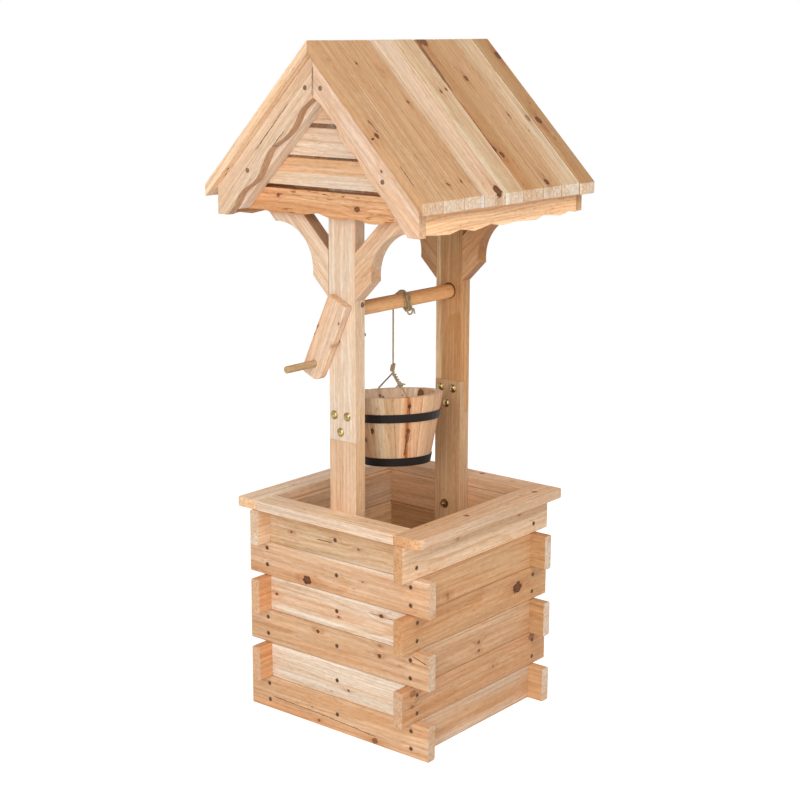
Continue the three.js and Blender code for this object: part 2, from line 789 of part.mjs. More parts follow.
function bucketFrame() {
  const placed = new THREE.Group();
  placed.position.set(bucketX, bucketY, bucketRimHeight);
  placed.rotation.z = THREE.MathUtils.degToRad(bailHeading);
  planter.add(placed);
  const tilted = new THREE.Group();
  tilted.rotation.y = -THREE.MathUtils.degToRad(bucketTilt);
  placed.add(tilted);
  placed.updateMatrixWorld(true);
  return tilted;
}

// Tapered wall with a floor board let into it, turned about the bucket's own axis
function bucketWall() {
  const inner = bucketRimRadius - staveThickness;
  const footInner = bucketFootRadius - staveThickness;
  const floorLow = bucketFloorRise - bucketHeight;
  const floorHigh = floorLow + bucketFloorThickness;
  const profile = [
    new THREE.Vector2(0, floorLow),
    new THREE.Vector2(footInner + bucketSlope * bucketFloorRise, floorLow),
    new THREE.Vector2(footInner, -bucketHeight),
    new THREE.Vector2(bucketFootRadius, -bucketHeight),
    new THREE.Vector2(bucketRimRadius, 0),
    new THREE.Vector2(inner, 0),
    new THREE.Vector2(inner + bucketSlope * floorHigh, floorHigh),
    new THREE.Vector2(0, floorHigh),
  ];
  const geometry = new THREE.LatheGeometry(profile, staveCount * facetsPerStave);
  return geometry.rotateX(Math.PI / 2);
}

// V joints between the staves, and the hole through both walls for the bail
function bucketCutters() {
  const cutters = [];
  const slant = Math.atan(bucketSlope);
  const length = bucketHeight / Math.cos(slant) + 2 * overrun;
  const side = staveSeamDepth * Math.SQRT2;
  const middleRadius = (bucketRimRadius + bucketFootRadius) / 2;
  for (let stave = 0; stave < staveCount; stave += 1) {
    const turn = THREE.MathUtils.degToRad(staveSeamTurn) + (2 * Math.PI * stave) / staveCount;
    const groove = new THREE.BoxGeometry(side, side, length).rotateZ(Math.PI / 4);
    groove.rotateY(slant).translate(middleRadius, 0, -bucketHeight / 2);
    cutters.push(groove.rotateZ(turn));
  }
  const across = 2 * (bucketRimRadius + overrun);
  const hole = new THREE.CylinderGeometry(bailHoleRadius, bailHoleRadius, across, 2 * coilSides);
  cutters.push(hole.rotateZ(Math.PI / 2).translate(0, 0, -bailHoleDrop));
  return cutters;
}

function hoop(drop) {
  const inner = (z) => bucketRimRadius + bucketSlope * z + seam;
  const top = -drop;
  const foot = -drop - hoopHeight;
  const profile = [
    new THREE.Vector2(inner(foot), foot),
    new THREE.Vector2(inner(foot) + hoopThickness, foot),
    new THREE.Vector2(inner(top) + hoopThickness, top),
    new THREE.Vector2(inner(top), top),
    new THREE.Vector2(inner(foot), foot),
  ];
  const geometry = new THREE.LatheGeometry(profile, staveCount * facetsPerStave);
  return geometry.rotateX(Math.PI / 2);
}

// Bail: one rope from the far hole, over the rim, up to the knot and down to the near hole
function addBail(frame) {
  const apexWorld = new THREE.Vector3(ropeX, ropeY, knotTop - knotHeight - seam - ropeRadius);
  const apex = frame.worldToLocal(apexWorld);
  const hole = -bailHoleDrop;
  const holeOuter = bucketRimRadius - bucketSlope * bailHoleDrop;
  const holeInner = holeOuter - staveThickness;
  const stand = ropeRadius + bailRimLift;
  const rimOuter = bucketRimRadius + stand;
  const rightEnd = new THREE.Vector3((holeInner + holeOuter) / 2, 0, hole);
  const rightMouth = new THREE.Vector3(holeInner - stand, 0, hole + 2 * stand);
  const lowerKnot = apex.clone().lerp(rightMouth, lowerKnotShare);
  const leftShoulder = new THREE.Vector3(-bucketRimRadius + stand, 0, stand);
  const route = [
    new THREE.Vector3(-(holeInner + holeOuter) / 2, 0, hole),
    new THREE.Vector3(-holeOuter, 0, hole),
    new THREE.Vector3(-holeOuter - 2 * stand, 0, hole + stand),
    new THREE.Vector3(-rimOuter, 0, -stand),
    new THREE.Vector3(-bucketRimRadius - stand * Math.SQRT1_2, 0, stand * Math.SQRT1_2),
    leftShoulder,
    ...leftLegShares.map((share) => leftShoulder.clone().lerp(apex, share)),
    apex,
    apex.clone().lerp(rightMouth, rightLegShares[0]),
    lowerKnot,
    apex.clone().lerp(rightMouth, rightLegShares[1]),
    rightMouth,
    new THREE.Vector3(holeInner, 0, hole),
    rightEnd,
  ];
  const curve = new THREE.CatmullRomCurve3(route);
  const main = tube(curve, ropeRadius, ropeSides, bailSteps);
  const lump = knot(lowerKnotRadius, lowerKnotHeight).translate(...lowerKnot);
  const beside = new THREE.Vector3(0, 2 * ropeRadius, 0);
  const second = new THREE.LineCurve3(
    apex.clone().lerp(lowerKnot, doubledStartShare).add(beside),
    lowerKnot.clone().add(beside),
  );
  const doubled = tube(second, ropeRadius, ropeSides, doubledSteps);
  const tails = [1, -1].map((side) => {
    const aside = new THREE.Vector3(side, side, 1).setLength(tailLength);
    const tail = new THREE.LineCurve3(lowerKnot.clone(), lowerKnot.clone().add(aside));
    return tube(tail, ropeRadius, ropeSides, tailSteps);
  });
  addPiece('bail_rope', join(main, lump, doubled, ...tails), jute, frame);
}

function addBucket() {
  const frame = bucketFrame();
  addPiece('bucket_staves', cut(bucketWall(), ...bucketCutters()), cedar, frame);
  addPiece('bucket_hoop_upper', hoop(upperHoopDrop), hoopPaint, frame);
  addPiece('bucket_hoop_lower', hoop(lowerHoopDrop), hoopPaint, frame);
  addBail(frame);
}

addBox();
addRim();
addFloor();
addRoof();
addEaveFascias();
for (const [end, side] of [['front', -1], ['back', 1]]) {
  addPost(end, side);
  const facing = new THREE.Group();
  facing.rotation.z = side > 0 ? Math.PI : 0;
  planter.add(facing);
  addBargeBoards(end, facing);
  addGableFrame(end, facing);
  addGableFascia(end, facing);
  addBraces(end, facing);
}
addWindlass();
addRope();
addBucket();

export default planter;
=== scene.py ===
"""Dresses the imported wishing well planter: cedar boards, hooped bucket, jute rope and fastenings."""

import math
import random

import bmesh
import bpy
from bpy.props import FloatProperty, FloatVectorProperty, IntProperty, PointerProperty
from mathutils import Matrix, Vector


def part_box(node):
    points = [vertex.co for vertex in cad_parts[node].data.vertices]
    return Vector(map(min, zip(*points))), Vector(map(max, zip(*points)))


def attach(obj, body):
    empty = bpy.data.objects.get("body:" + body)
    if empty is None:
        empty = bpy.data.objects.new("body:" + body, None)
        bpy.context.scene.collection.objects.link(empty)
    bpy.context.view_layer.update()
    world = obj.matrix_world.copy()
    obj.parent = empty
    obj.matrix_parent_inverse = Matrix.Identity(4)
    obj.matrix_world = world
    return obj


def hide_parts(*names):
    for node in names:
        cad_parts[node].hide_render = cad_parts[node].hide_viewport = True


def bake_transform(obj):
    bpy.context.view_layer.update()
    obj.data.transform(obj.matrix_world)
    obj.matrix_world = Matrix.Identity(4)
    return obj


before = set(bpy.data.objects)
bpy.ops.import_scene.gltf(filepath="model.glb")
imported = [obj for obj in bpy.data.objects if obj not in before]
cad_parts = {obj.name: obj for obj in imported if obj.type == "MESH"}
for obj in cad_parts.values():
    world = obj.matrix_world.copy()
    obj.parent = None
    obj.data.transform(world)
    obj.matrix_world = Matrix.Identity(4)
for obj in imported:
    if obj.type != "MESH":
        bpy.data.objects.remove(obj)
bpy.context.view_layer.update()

bl_info = {
    "name": "Wishing well planter",
    "version": (1, 0, 0),
    "blender": (4, 5, 0),
    "location": "3D View > Sidebar > Well",
    "description": "Dresses the packed wishing well planter with cedar, rope, hoops and fastenings",
    "category": "Object",
}

MM = 0.001
UP = Vector((0, 0, 1))
X_AXIS = Vector((1, 0, 0))
Y_AXIS = Vector((0, 1, 0))

# Sizes shared with the solids, in millimetres
RIDGE_HEIGHT = 1190.5
ROOF_PITCH = 240.5 / 235.9
ROOF_HALF_SPAN = 235.9
ROOF_HALF_LENGTH = 239.8
ROOF_PLUMB = 21
ROOF_JOINTS = (-188.5, -134, -80, -24.5, 27, 84, 139, 193)
UNDER_RIDGE = 1169.2
SEAM = 0.3
BOX_TOP = 381
RIM_TOP = 398.7
RIM_HALF_X = 207
RIM_HALF_Y = 206
RIM_LEFT_INNER = -161
RIM_RIGHT_INNER = 151
RIM_END_INNER = 159
BOX_FACE_X, BOX_FACE_Y = 173.5, 178
POST_OUTER, POST_INNER = 158.7, 133.3
BARGE_FACE = 226.3
FASCIA_FACE = 183.5
SLAT_BACK, SLAT_FRONT, RAFTER_FRONT = 174.5, 183.8, 209.2
RAFTER_TAIL = 202.2
RAFTER_PLUMB = 72
RAFTER_CUT = 18
SLAT_LEVELS = ((953.3, 999.6), (1003.6, 1049.9), (1057.1, 1157.2))
SLAT_APEX = 1157.2
AXLE_HEIGHT = 746
ARM_FACE = 175.4
ARM_LEAN = 24.8
BORE_MOUTH_Y = 133.15
COIL_RADIUS = 14.6
ROPE_X, ROPE_Y = -14.6, -6.2
ROPE_RADIUS = 1.6
LINE_TOP, LINE_FOOT = 738.7, 632.3
KNOT_TOP, KNOT_MIDDLE, KNOT_HEIGHT = 632, 625.15, 13.7
BUCKET_PLACE = (-14.3, -3, 579.8)
BUCKET_HEADING = -32.2
BUCKET_TILT = 6.4
BUCKET_RIM, BUCKET_FOOT, BUCKET_HEIGHT = 86.8, 58.4, 124
BUCKET_FLARE = (BUCKET_RIM - BUCKET_FOOT) / BUCKET_HEIGHT
STAVE_THICKNESS = 15
STAVES = 10
SEAM_TURN = -18.7
BAIL_DROP = 16
# Both sides with the sign of x
SIDES = (("right", 1), ("left", -1))

# Sizes of the details that only the visible model has, in millimetres
ROOF_MIDDLE = 118
RIM_CORNER_STEPS = 6
PLANED_EASE = 1.5
BOTTOM_LEVELS = (-114, -104)
PLUG_HOLE = ((5.6, 0), (5.6, 9))
PLUG_PROFILE = ((5.2, -2), (5.2, 0), (4.8, 0.3), (0, 0.4))
TIGHT_KNOT = (29.2, -139.5, 758.8)
FOOT_NUT = (-5, POST_INNER, 347)
POST_STUB = (23.5, -POST_INNER, 706)
ROPE_STEP = 0.8
HAIR_RADII = (0.09, 0.08, 0.03)
# The painted shade round the axle at the bore's mouth, as two rings of a radius and a shift up and to the
# right
BORE_SHADE_RINGS = ((12.75, 0.0), (14.6, 0.9))
# A stave's cross-section: shares of its angle on the outer and then the inner side
STAVE_ROWS = 7
STAVE_OUTER = (0, 0.045, 0.25, 0.5, 0.75, 0.955, 1)
STAVE_INNER = (1, 0.75, 0.5, 0.25, 0)

# Colours that no setting changes
WHITE = (1, 1, 1, 1)
PLAIN_END = (1.0, 0.95, 0.88)
KNOT_HALO = (0.74, 0.53, 0.38)
CHECK_DARK = (0.11, 0.05, 0.028)
SHADED_EDGE = (0.84, 0.72, 0.6)
# Painted highlight along the far edge of a roof board
EDGE_HIGHLIGHT = (1.38, 1.65, 1.95)
FLOOR_GLOW = 0.62

# In metres: the floor's radius, and the width of a year ring
FLOOR_RADIUS = 60
RING_WIDTH = 0.0038

# Camera matched to the photograph: place, right and up directions, lens and its shift
CAMERA_PLACE = (1802.814, -2207.106, 1217.431)
CAMERA_RIGHT = (0.77584767, 0.6309104, 0.00353028)
CAMERA_UP = (-0.14438684, 0.17210391, 0.97443968)
CAMERA_LENS = 74.453
CAMERA_SHIFT = (-0.0081, 0.0049)


def metres(point):
    return Vector(point) * MM


# Settings a user would change

class WELL_finish(bpy.types.PropertyGroup):
    """Colours of the planter's finishes."""
    cedar: FloatVectorProperty(
        name="Cedar", description="Mean colour of a planed cedar board", subtype="COLOR",
        size=3, default=(0.78, 0.53, 0.355), min=0, max=1)
    bucket_wood: FloatVectorProperty(
        name="Bucket wood", description="Mean colour of the bucket staves", subtype="COLOR",
        size=3, default=(0.76, 0.53, 0.36), min=0, max=1)
    dowel: FloatVectorProperty(
        name="Dowel", description="Mean colour of the turned axle and handle", subtype="COLOR",
        size=3, default=(0.72, 0.44, 0.235), min=0, max=1)
    knot: FloatVectorProperty(
        name="Knot", description="Colour of the knots in the boards", subtype="COLOR",
        size=3, default=(0.14, 0.044, 0.012), min=0, max=1)
    jute: FloatVectorProperty(
        name="Jute", description="Colour of the rope's fibres", subtype="COLOR",
        size=3, default=(0.42, 0.31, 0.17), min=0, max=1)
    hoop: FloatVectorProperty(
        name="Hoop paint", description="Colour of the painted bucket hoops", subtype="COLOR",
        size=3, default=(0.009, 0.006, 0.005), min=0, max=1)
    zinc: FloatVectorProperty(
        name="Plated steel", description="Colour of the yellow plated bolts", subtype="COLOR",
        size=3, default=(0.52, 0.37, 0.17), min=0, max=1)


class WELL_timber(bpy.types.PropertyGroup):
    """Sizes of the dressed boards and ropes."""
    ease: FloatProperty(
        name="Eased edge", description="Radius on the edges of sawn boards", unit="LENGTH",
        default=1.1 * MM, min=0.1 * MM, max=3 * MM)
    joint: FloatProperty(
        name="Roof joint", description="Gap between neighbouring roof boards", unit="LENGTH",
        default=0.6 * MM, min=0.1 * MM, max=3 * MM)
    strands: IntProperty(
        name="Rope strands", description="Strands laid into the jute rope", default=3, min=2, max=5)
    strand_lay: FloatProperty(
        name="Rope lay", description="Length of one twist of the rope", unit="LENGTH",
        default=11 * MM, min=4 * MM, max=40 * MM)
    screw_head: FloatProperty(
        name="Screw head", description="Diameter of the wood screw heads", unit="LENGTH",
        default=5.8 * MM, min=2 * MM, max=12 * MM)
    bolt_head: FloatProperty(
        name="Bolt head", description="Diameter of the domed bolt heads", unit="LENGTH",
        default=14 * MM, min=6 * MM, max=20 * MM)


class WELL_stage_settings(bpy.types.PropertyGroup):
    """Light and floor round the planter."""
    surround: FloatProperty(
        name="Surround light", description="Strength of the even light from all round",
        default=0.46, min=0, max=2)
    key: FloatProperty(
        name="Front light", description="Power of the large light in front of the well, in watts",
        default=75, min=0, max=1000)
    high: FloatProperty(
        name="High light", description="Power of the light above the well's right, in watts",
        default=42, min=0, max=1000)
    floor: FloatVectorProperty(
        name="Floor", description="Colour of the floor", subtype="COLOR",
        size=3, default=(0.86, 0.86, 0.86), min=0, max=1)


# Shader helpers

def opaque(colour):
    return (*colour, 1.0)


def shaded(colour, share):
    return tuple(min(1.0, channel * share) for channel in colour)


class Value:
    """An output of a shader node, so that a sum of numbers is written as a sum."""

    def __init__(self, shader, socket):
        self.shader = shader
        self.socket = socket

    def __add__(self, other):
        return self.shader.math("ADD", self, other)

    def __sub__(self, other):
        return self.shader.math("SUBTRACT", self, other)

    def __mul__(self, other):
        return self.shader.math("MULTIPLY", self, other)

    def __truediv__(self, other):
        return self.shader.math("DIVIDE", self, other)


class Shader:
    """Adds linked nodes to one tree."""

    def __init__(self, tree):
        self.tree = tree

    def fill(self, node, inputs):
        """Links or sets a node's inputs, by name or by index."""
        for key, value in dict(inputs).items():
            if isinstance(value, Value):
                self.tree.links.new(value.socket, node.inputs[key])
            else:
                node.inputs[key].default_value = value

    def node(self, kind, inputs=(), **settings):
        node = self.tree.nodes.new(kind)
        for name, value in settings.items():
            setattr(node, name, value)
        self.fill(node, inputs)
        return node

    def outputs(self, node):
        """A node's outputs, by name and by index."""
        found = {}
        for index, socket in enumerate(node.outputs):
            found[index] = found[socket.name] = Value(self, socket)
        return found

    def add(self, kind, inputs=(), **settings):
        return self.outputs(self.node(kind, inputs, **settings))

    def math(self, operation, first, second=0.0, clamp=False):
        return self.add("ShaderNodeMath", {0: first, 1: second}, operation=operation, use_clamp=clamp)[0]

    def vector(self, operation, first, second=(0, 0, 0)):
        found = self.add("ShaderNodeVectorMath", {0: first, 1: second}, operation=operation)
        return found["Value" if operation in {"DOT_PRODUCT", "LENGTH"} else "Vector"]

    def noise(self, place, along, across, detail=2.0, roughness=0.5, output=0):
        """Noise with this many grains to the metre along and across the board."""
        spot = self.vector("MULTIPLY", place, (along, across, across))
        inputs = {"Vector": spot, "Scale": 1.0, "Detail": detail, "Roughness": roughness}
        return self.add("ShaderNodeTexNoise", inputs)[output]

    def step(self, value, low, high, out_low=0.0, out_high=1.0):
        inputs = {0: value, 1: low, 2: high, 3: out_low, 4: out_high}
        return self.add("ShaderNodeMapRange", inputs, interpolation_type="SMOOTHSTEP")[0]

    def mix(self, factor, first, second, blend="MIX"):
        inputs = {0: factor, 6: first, 7: second}
        for key in (6, 7):
            if isinstance(inputs[key], tuple):
                inputs[key] = opaque(inputs[key])
        return self.add("ShaderNodeMix", inputs, data_type="RGBA", blend_type=blend)[2]

    def toned(self, colour, tint, share=1.0):
        """A colour multiplied by a tint, as far as the share says."""
        return self.mix(share, colour, tint, "MULTIPLY")

    def split(self, vector):
        return self.add("ShaderNodeSeparateXYZ", {0: vector})

    def joined(self, x, y, z):
        return self.add("ShaderNodeCombineXYZ", {0: x, 1: y, 2: z})[0]

    def bump(self, height, strength, distance, **inputs):
        inputs = {"Height": height, "Strength": strength, "Distance": distance * MM, **inputs}
        return self.add("ShaderNodeBump", inputs)[0]


def new_group(name, given, result):
    """A node group with these sockets of each kind, and a Shader that builds inside it."""
    tree = bpy.data.node_groups.new(name, "ShaderNodeTree")
    for entries, side in ((given, "INPUT"), (result, "OUTPUT")):
        for kind, labels in entries.items():
            for label in labels:
                tree.interface.new_socket(label, in_out=side, socket_type="NodeSocket" + kind)
    shader = Shader(tree)
    return shader, shader.add("NodeGroupInput")


def fresh(owner):
    """A Shader on the emptied node tree of a material or a world."""
    owner.use_nodes = True
    owner.node_tree.nodes.clear()
    return Shader(owner.node_tree)


def new_material(name):
    material = bpy.data.materials.new(name)
    shader = fresh(material)
    surface = shader.node("ShaderNodeBsdfPrincipled")
    shader.node("ShaderNodeOutputMaterial", {"Surface": Value(shader, surface.outputs[0])})
    return material, shader, surface


def grain_group():
    """Grain of a sawn cedar board: Local is metres along, across and through the board."""
    found = bpy.data.node_groups.get("cedar_grain")
    if found:
        return found
    s, given = new_group(
        "cedar_grain",
        {"Vector": ("Local", "Seed", "Pith"), "Float": ("Shift", "Heart", "Fleck", "Contrast", "End"),
         "Color": ("End tone", "Tint")},
        {"Color": ("Color",), "Float": ("Height", "Roughness")})
    local = given["Local"]
    seeded = s.vector("ADD", local, given["Seed"])

    # Distance from the pith, bent by slow noise and pushed out round knots, gives the year rings
    wander = s.noise(seeded, 2.6, 9.0, output="Color")
    bend = s.vector("MULTIPLY", s.vector("SUBTRACT", wander, (0.5, 0.5, 0.5)), (0.0, 0.026, 0.026))
    from_pith = s.vector("SUBTRACT", s.vector("ADD", local, bend), given["Pith"])
    radius = s.vector("LENGTH", s.vector("MULTIPLY", from_pith, (0.0, 1.0, 1.0)))
    radius = radius + s.split(local)[0] * 0.02 + given["Shift"]
    jitter = s.noise(seeded, 9.0, 60.0)
    rings = radius / RING_WIDTH + jitter * 0.8
    part = s.math("FRACT", rings)
    year = s.add("ShaderNodeTexWhiteNoise", {"W": s.math("FLOOR", rings)}, noise_dimensions="1D")[0]
    late = s.step(part, 0.25, 0.88) * s.step(part, 1.0, 0.9)
    late = late * s.step(year, 0.0, 1.0, 0.25, 1.0) * given["Contrast"]

    # Sapwood outside the heart's edge, blotches and late wood
    edge = given["Heart"] + (jitter - 0.5) * 0.008
    base = s.mix(s.step(radius - edge, 0.006, -0.006), (1.07, 1.13, 1.2), (0.99, 0.96, 0.93))
    blotch = s.noise(seeded, 4.0, 26.0, detail=3.0)
    base = s.toned(base, (1.02, 0.92, 0.83), s.step(blotch, 0.35, 0.7))
    base = s.mix(late * 0.75, base, (0.88, 0.68, 0.47))

    # Streaks, fibres and mottle darken more in blue than in red
    streak = s.noise(seeded, 4.0, 190.0, detail=4.0, roughness=0.65)
    fibre = s.noise(seeded, 45.0, 1500.0)
    mottle = s.noise(seeded, 90.0, 260.0)
    shade = s.step(streak, 0.22, 0.78, -0.2, 0.14) * (given["Contrast"] * 0.9 + 0.33) + 1.0
    shade = shade + s.step(fibre, 0.25, 0.75, -0.08, 0.08) + s.step(mottle, 0.25, 0.75, -0.05, 0.05)
    base = s.toned(base, s.joined(shade, s.math("POWER", shade, 1.35), s.math("POWER", shade, 1.8)))

    # Short dark flecks, in patches
    dash = s.noise(seeded, 55.0, 330.0, detail=1.0)
    patch = s.noise(seeded, 7.0, 22.0, detail=1.0)
    fleck = s.step(dash, 0.63, 0.7) * s.step(patch, 0.42, 0.6)
    fleck = s.math("MULTIPLY", fleck, given["Fleck"], clamp=True)
    base = s.toned(base, (0.5, 0.36, 0.26), fleck)

    # Sawn ends
    pores = s.noise(seeded, 300.0, 900.0)
    end_tone = s.mix(s.step(pores, 0.3, 0.7), (0.93, 0.92, 0.9), (1.04, 1.03, 1.02))
    base = s.toned(base, s.toned(end_tone, given["End tone"]), given["End"])

    height = fibre * 0.6 + streak * 0.5 - late * 0.25 - fleck * 0.8 + pores * given["End"] * 0.9
    s.node("NodeGroupOutput", {
        "Color": s.toned(base, given["Tint"]),
        "Height": height,
        "Roughness": s.step(streak, 0.2, 0.8, 0.58, 0.72) + given["End"] * 0.12,
    })
    return s.tree


def knot_group():
    """One knot: how dark, how much of its rim and halo shows, and how far it pushes the rings out."""
    found = bpy.data.node_groups.get("cedar_knot")
    if found:
        return found
    s, given = new_group("cedar_knot", {"Vector": ("Local", "Place"), "Float": ("Size", "Wobble")},
                         {"Float": ("Dark", "Rim", "Halo", "Shift")})
    size = given["Size"]
    away = s.vector("SUBTRACT", given["Local"], given["Place"])

    def reach(along, across):
        """Distance from the knot's middle in knot sizes, longer along the grain."""
        return s.vector("LENGTH", s.vector("MULTIPLY", away, (along, across, 0.0))) / size

    def fading(distance):
        return s.math("EXPONENT", distance * distance * -1.0)

    distance = reach(0.8, 1.0) + (given["Wobble"] - 0.5) * 1.5
    s.node("NodeGroupOutput", {
        "Dark": s.step(distance, 1.25, 0.95),
        "Rim": s.step(distance, 0.45, 0.9),
        "Halo": fading(reach(0.2, 0.62)),
        "Shift": fading(reach(0.18, 0.42)) * (size * 0.35 + 0.0045),
    })
    return s.tree


def knot_marks(s, local, wobble, knots):
    """The push of all knots on the rings, and how dark, rimmed and haloed they make the wood."""
    shift, dark, rim, halo = 0.0, 0.0, 0.0, 0.0
    for place, radius, strength in knots:
        mark = s.add("ShaderNodeGroup", node_tree=knot_group(), inputs={
            "Local": local, "Place": (*place, 0.0), "Size": radius * MM, "Wobble": wobble})
        shift = mark["Shift"] + shift
        dark = s.math("MAXIMUM", dark, mark["Dark"] * strength)
        rim = s.math("MAXIMUM", rim, mark["Rim"] * mark["Dark"])
        halo = s.math("MAXIMUM", halo, mark["Halo"] * (0.3 + 0.45 * strength))
    return shift, dark, rim, halo


def check_marks(s, local, wobble, checks):
    """How much of an open check shows: each is two places on the board and a width."""
    parts = s.split(local)
    split = 0.0
    for ends, width in checks:
        (u1, v1), (u2, v2) = sorted(ends)
        share = (parts[0] - u1) / (u2 - u1)
        line = share * (v2 - v1) + v1 + (wobble - 0.5) * 0.004
        apart = s.math("ABSOLUTE", parts[1] - line)
        inside = s.step(share, 0.0, 0.15) * s.step(share, 1.0, 0.85)
        split = s.math("MAXIMUM", split, s.step(apart, width * MM, width * MM * 0.35) * inside)
    return split


def banded(s, colour, local, end, bands):
    """A board's colour with its bands: sharp ones are straight and stay off the sawn ends."""
    across = s.split(local)[1]
    wavy = across + (s.noise(local, 6.0, 6.0, detail=3.0) - 0.5) * 0.012
    for low, high, softness, tint in bands:
        sharp = softness <= 1
        spot = across if sharp else wavy
        rise = s.step(spot, (low - softness) * MM, (low + softness) * MM)
        fall = s.step(spot, (high + softness) * MM, (high - softness) * MM)
        inside = rise * fall
        if sharp:
            inside = inside * s.math("SUBTRACT", 1.0, end)
        colour = s.toned(colour, tint, inside)
    return colour


def axes_of(along, across):
    along = Vector(along).normalized()
    across = Vector(across)
    across = (across - along * across.dot(along)).normalized()
    return along, across, along.cross(across)


def cedar(name, along, across, middle, tint, knots=(), checks=(), bands=(), heart=None, fleck=0.35,
          contrast=0.75, soft_edge=0.0, end_tone=PLAIN_END, flank_shading=None):
    """Cedar for one board: knots are (point, radius, strength), checks (point, point, width) and
    bands (low, high, softness, tint) across the board, all in mm."""
    material, s, surface = new_material(name)
    seed = random.Random(name)
    directions = axes_of(along, across)
    place = s.add("ShaderNodeTexCoord")
    offset = s.vector("SUBTRACT", place["Object"], tuple(metres(middle)))
    local = s.joined(*(s.vector("DOT_PRODUCT", offset, tuple(axis)) for axis in directions))
    wobble = s.noise(local, 160.0, 200.0, detail=3.0)

    def facing(axis):
        return s.math("ABSOLUTE", s.vector("DOT_PRODUCT", place["Normal"], tuple(axis)))

    def flat(point):
        """Metres along and across the board from its middle."""
        away = metres(point) - metres(middle)
        return tuple(away.dot(axis) for axis in directions[:2])

    flat_knots = [(flat(point), radius, strength) for point, radius, strength in knots]
    shift, dark, rim, halo = knot_marks(s, local, wobble, flat_knots)
    end = s.step(facing(directions[0]), 0.5, 0.66)
    grain = s.add("ShaderNodeGroup", node_tree=grain_group(), inputs={
        "Local": local,
        "Seed": tuple(seed.uniform(-9, 9) for _ in range(3)),
        "Pith": (0.0, seed.uniform(-0.045, 0.045), -seed.uniform(0.03, 0.075)),
        "Shift": shift,
        "Heart": heart or seed.uniform(0.04, 0.09),
        "Fleck": fleck,
        "Contrast": contrast,
        "End": end,
        "End tone": opaque(end_tone),
        "Tint": opaque(tint),
    })
    colour = grain["Color"]
    height = grain["Height"]
    if bands:
        colour = banded(s, colour, local, end, bands)
    # Painted light and shade on the board's narrow faces
    if flank_shading:
        colour = s.toned(colour, flank_shading, s.step(facing(directions[1]), 0.6, 0.85))
    if knots:
        knot_tint = bpy.context.scene.well_finish.knot
        colour = s.toned(colour, KNOT_HALO, halo)
        colour = s.mix(dark, colour, s.mix(rim, shaded(knot_tint, 1.2), shaded(knot_tint, 0.6)))
        height = height - rim * 0.5
    if checks:
        flat_checks = [([flat(first), flat(last)], width) for first, last, width in checks]
        split = check_marks(s, local, wobble, flat_checks)
        colour = s.mix(split, colour, CHECK_DARK)
        height = height - split * 1.5
    rounded = {}
    if soft_edge:
        rounded["Normal"] = s.add("ShaderNodeBevel", {"Radius": soft_edge * MM}, samples=4)[0]
    s.fill(surface, {
        "Base Color": colour,
        "Roughness": grain["Roughness"],
        "Specular IOR Level": 0.3,
        "Normal": s.bump(height, 0.4, 0.5, **rounded),
    })
    return material


def tone_of(name, table):
    """The tone that a table names for a piece, if any."""
    return next((TONES[tone] for tone, names in table.items() if name in names), None)


def board_tone(name, like=None):
    """A piece's tone, or the one of the piece that it is like, or one drawn by its name."""
    listed = tone_of(name, BOARD_TONES) or tone_of(like, BOARD_TONES)
    return listed or TONES[random.Random(name).choice(SPARE_TONES)]


def tinted(name, finish="cedar", like=None):
    """A piece's own colour: its tone's share of the finish's mean colour."""
    mean = getattr(bpy.context.scene.well_finish, finish)
    return tuple(channel * share for channel, share in zip(mean, board_tone(name, like)))


def end_share(name, like=None):
    """The sawn ends' colour as a share of the board's own."""
    tone = tone_of(name, END_TONES) or tone_of(like, END_TONES)
    if not tone:
        return PLAIN_END
    return tuple(end / own for end, own in zip(tone, board_tone(name)))


def metal(name, colour, roughness, worn, look=()):
    """Speckled metal or paint: worn is how much of the colour the speckles keep."""
    material, s, surface = new_material(name)
    place = s.add("ShaderNodeTexCoord")["Object"]
    coarse = s.noise(place, 260.0, 260.0, detail=3.0)
    fine = s.noise(place, 1900.0, 1900.0)
    s.fill(surface, {
        "Base Color": s.mix(s.step(coarse, 0.3, 0.7), shaded(colour, worn), tuple(colour)),
        "Roughness": s.step(coarse, 0.3, 0.7, roughness + 0.12, roughness),
        "Normal": s.bump(fine, 0.15, 0.1),
        **dict(look),
    })
    return material


def sawn_hole(name, dark, light):
    """Rough cut wood inside a hole or on the end of a plug, and the near-black painted shade at the axle's
    bore.
    """
    material, s, surface = new_material(name)
    grain = s.noise(s.add("ShaderNodeTexCoord")["Object"], 700.0, 700.0, detail=3.0)
    s.fill(surface, {"Base Color": s.mix(s.step(grain, 0.3, 0.7), dark, light), "Roughness": 0.85})
    return material


def countersink_wood():
    return sawn_hole("countersink_wood", (0.12, 0.055, 0.025), (0.3, 0.16, 0.08))


def hole_shade():
    return sawn_hole("hole_shade", (0.04, 0.016, 0.007), (0.09, 0.04, 0.018))


def hoop_paint():
    colour = bpy.context.scene.well_finish.hoop
    return metal("hoop_paint", colour, 0.5, 1.5, {"Specular IOR Level": 0.2})


def plated_steel():
    return metal("plated_steel", bpy.context.scene.well_finish.zinc, 0.22, 0.5, {"Metallic": 1.0})


def screw_steel():
    return metal("screw_steel", (0.1, 0.05, 0.02), 0.5, 0.4, {"Metallic": 0.2})


def dull_steel():
    return metal("dull_screw", (0.25, 0.19, 0.12), 0.6, 0.5)


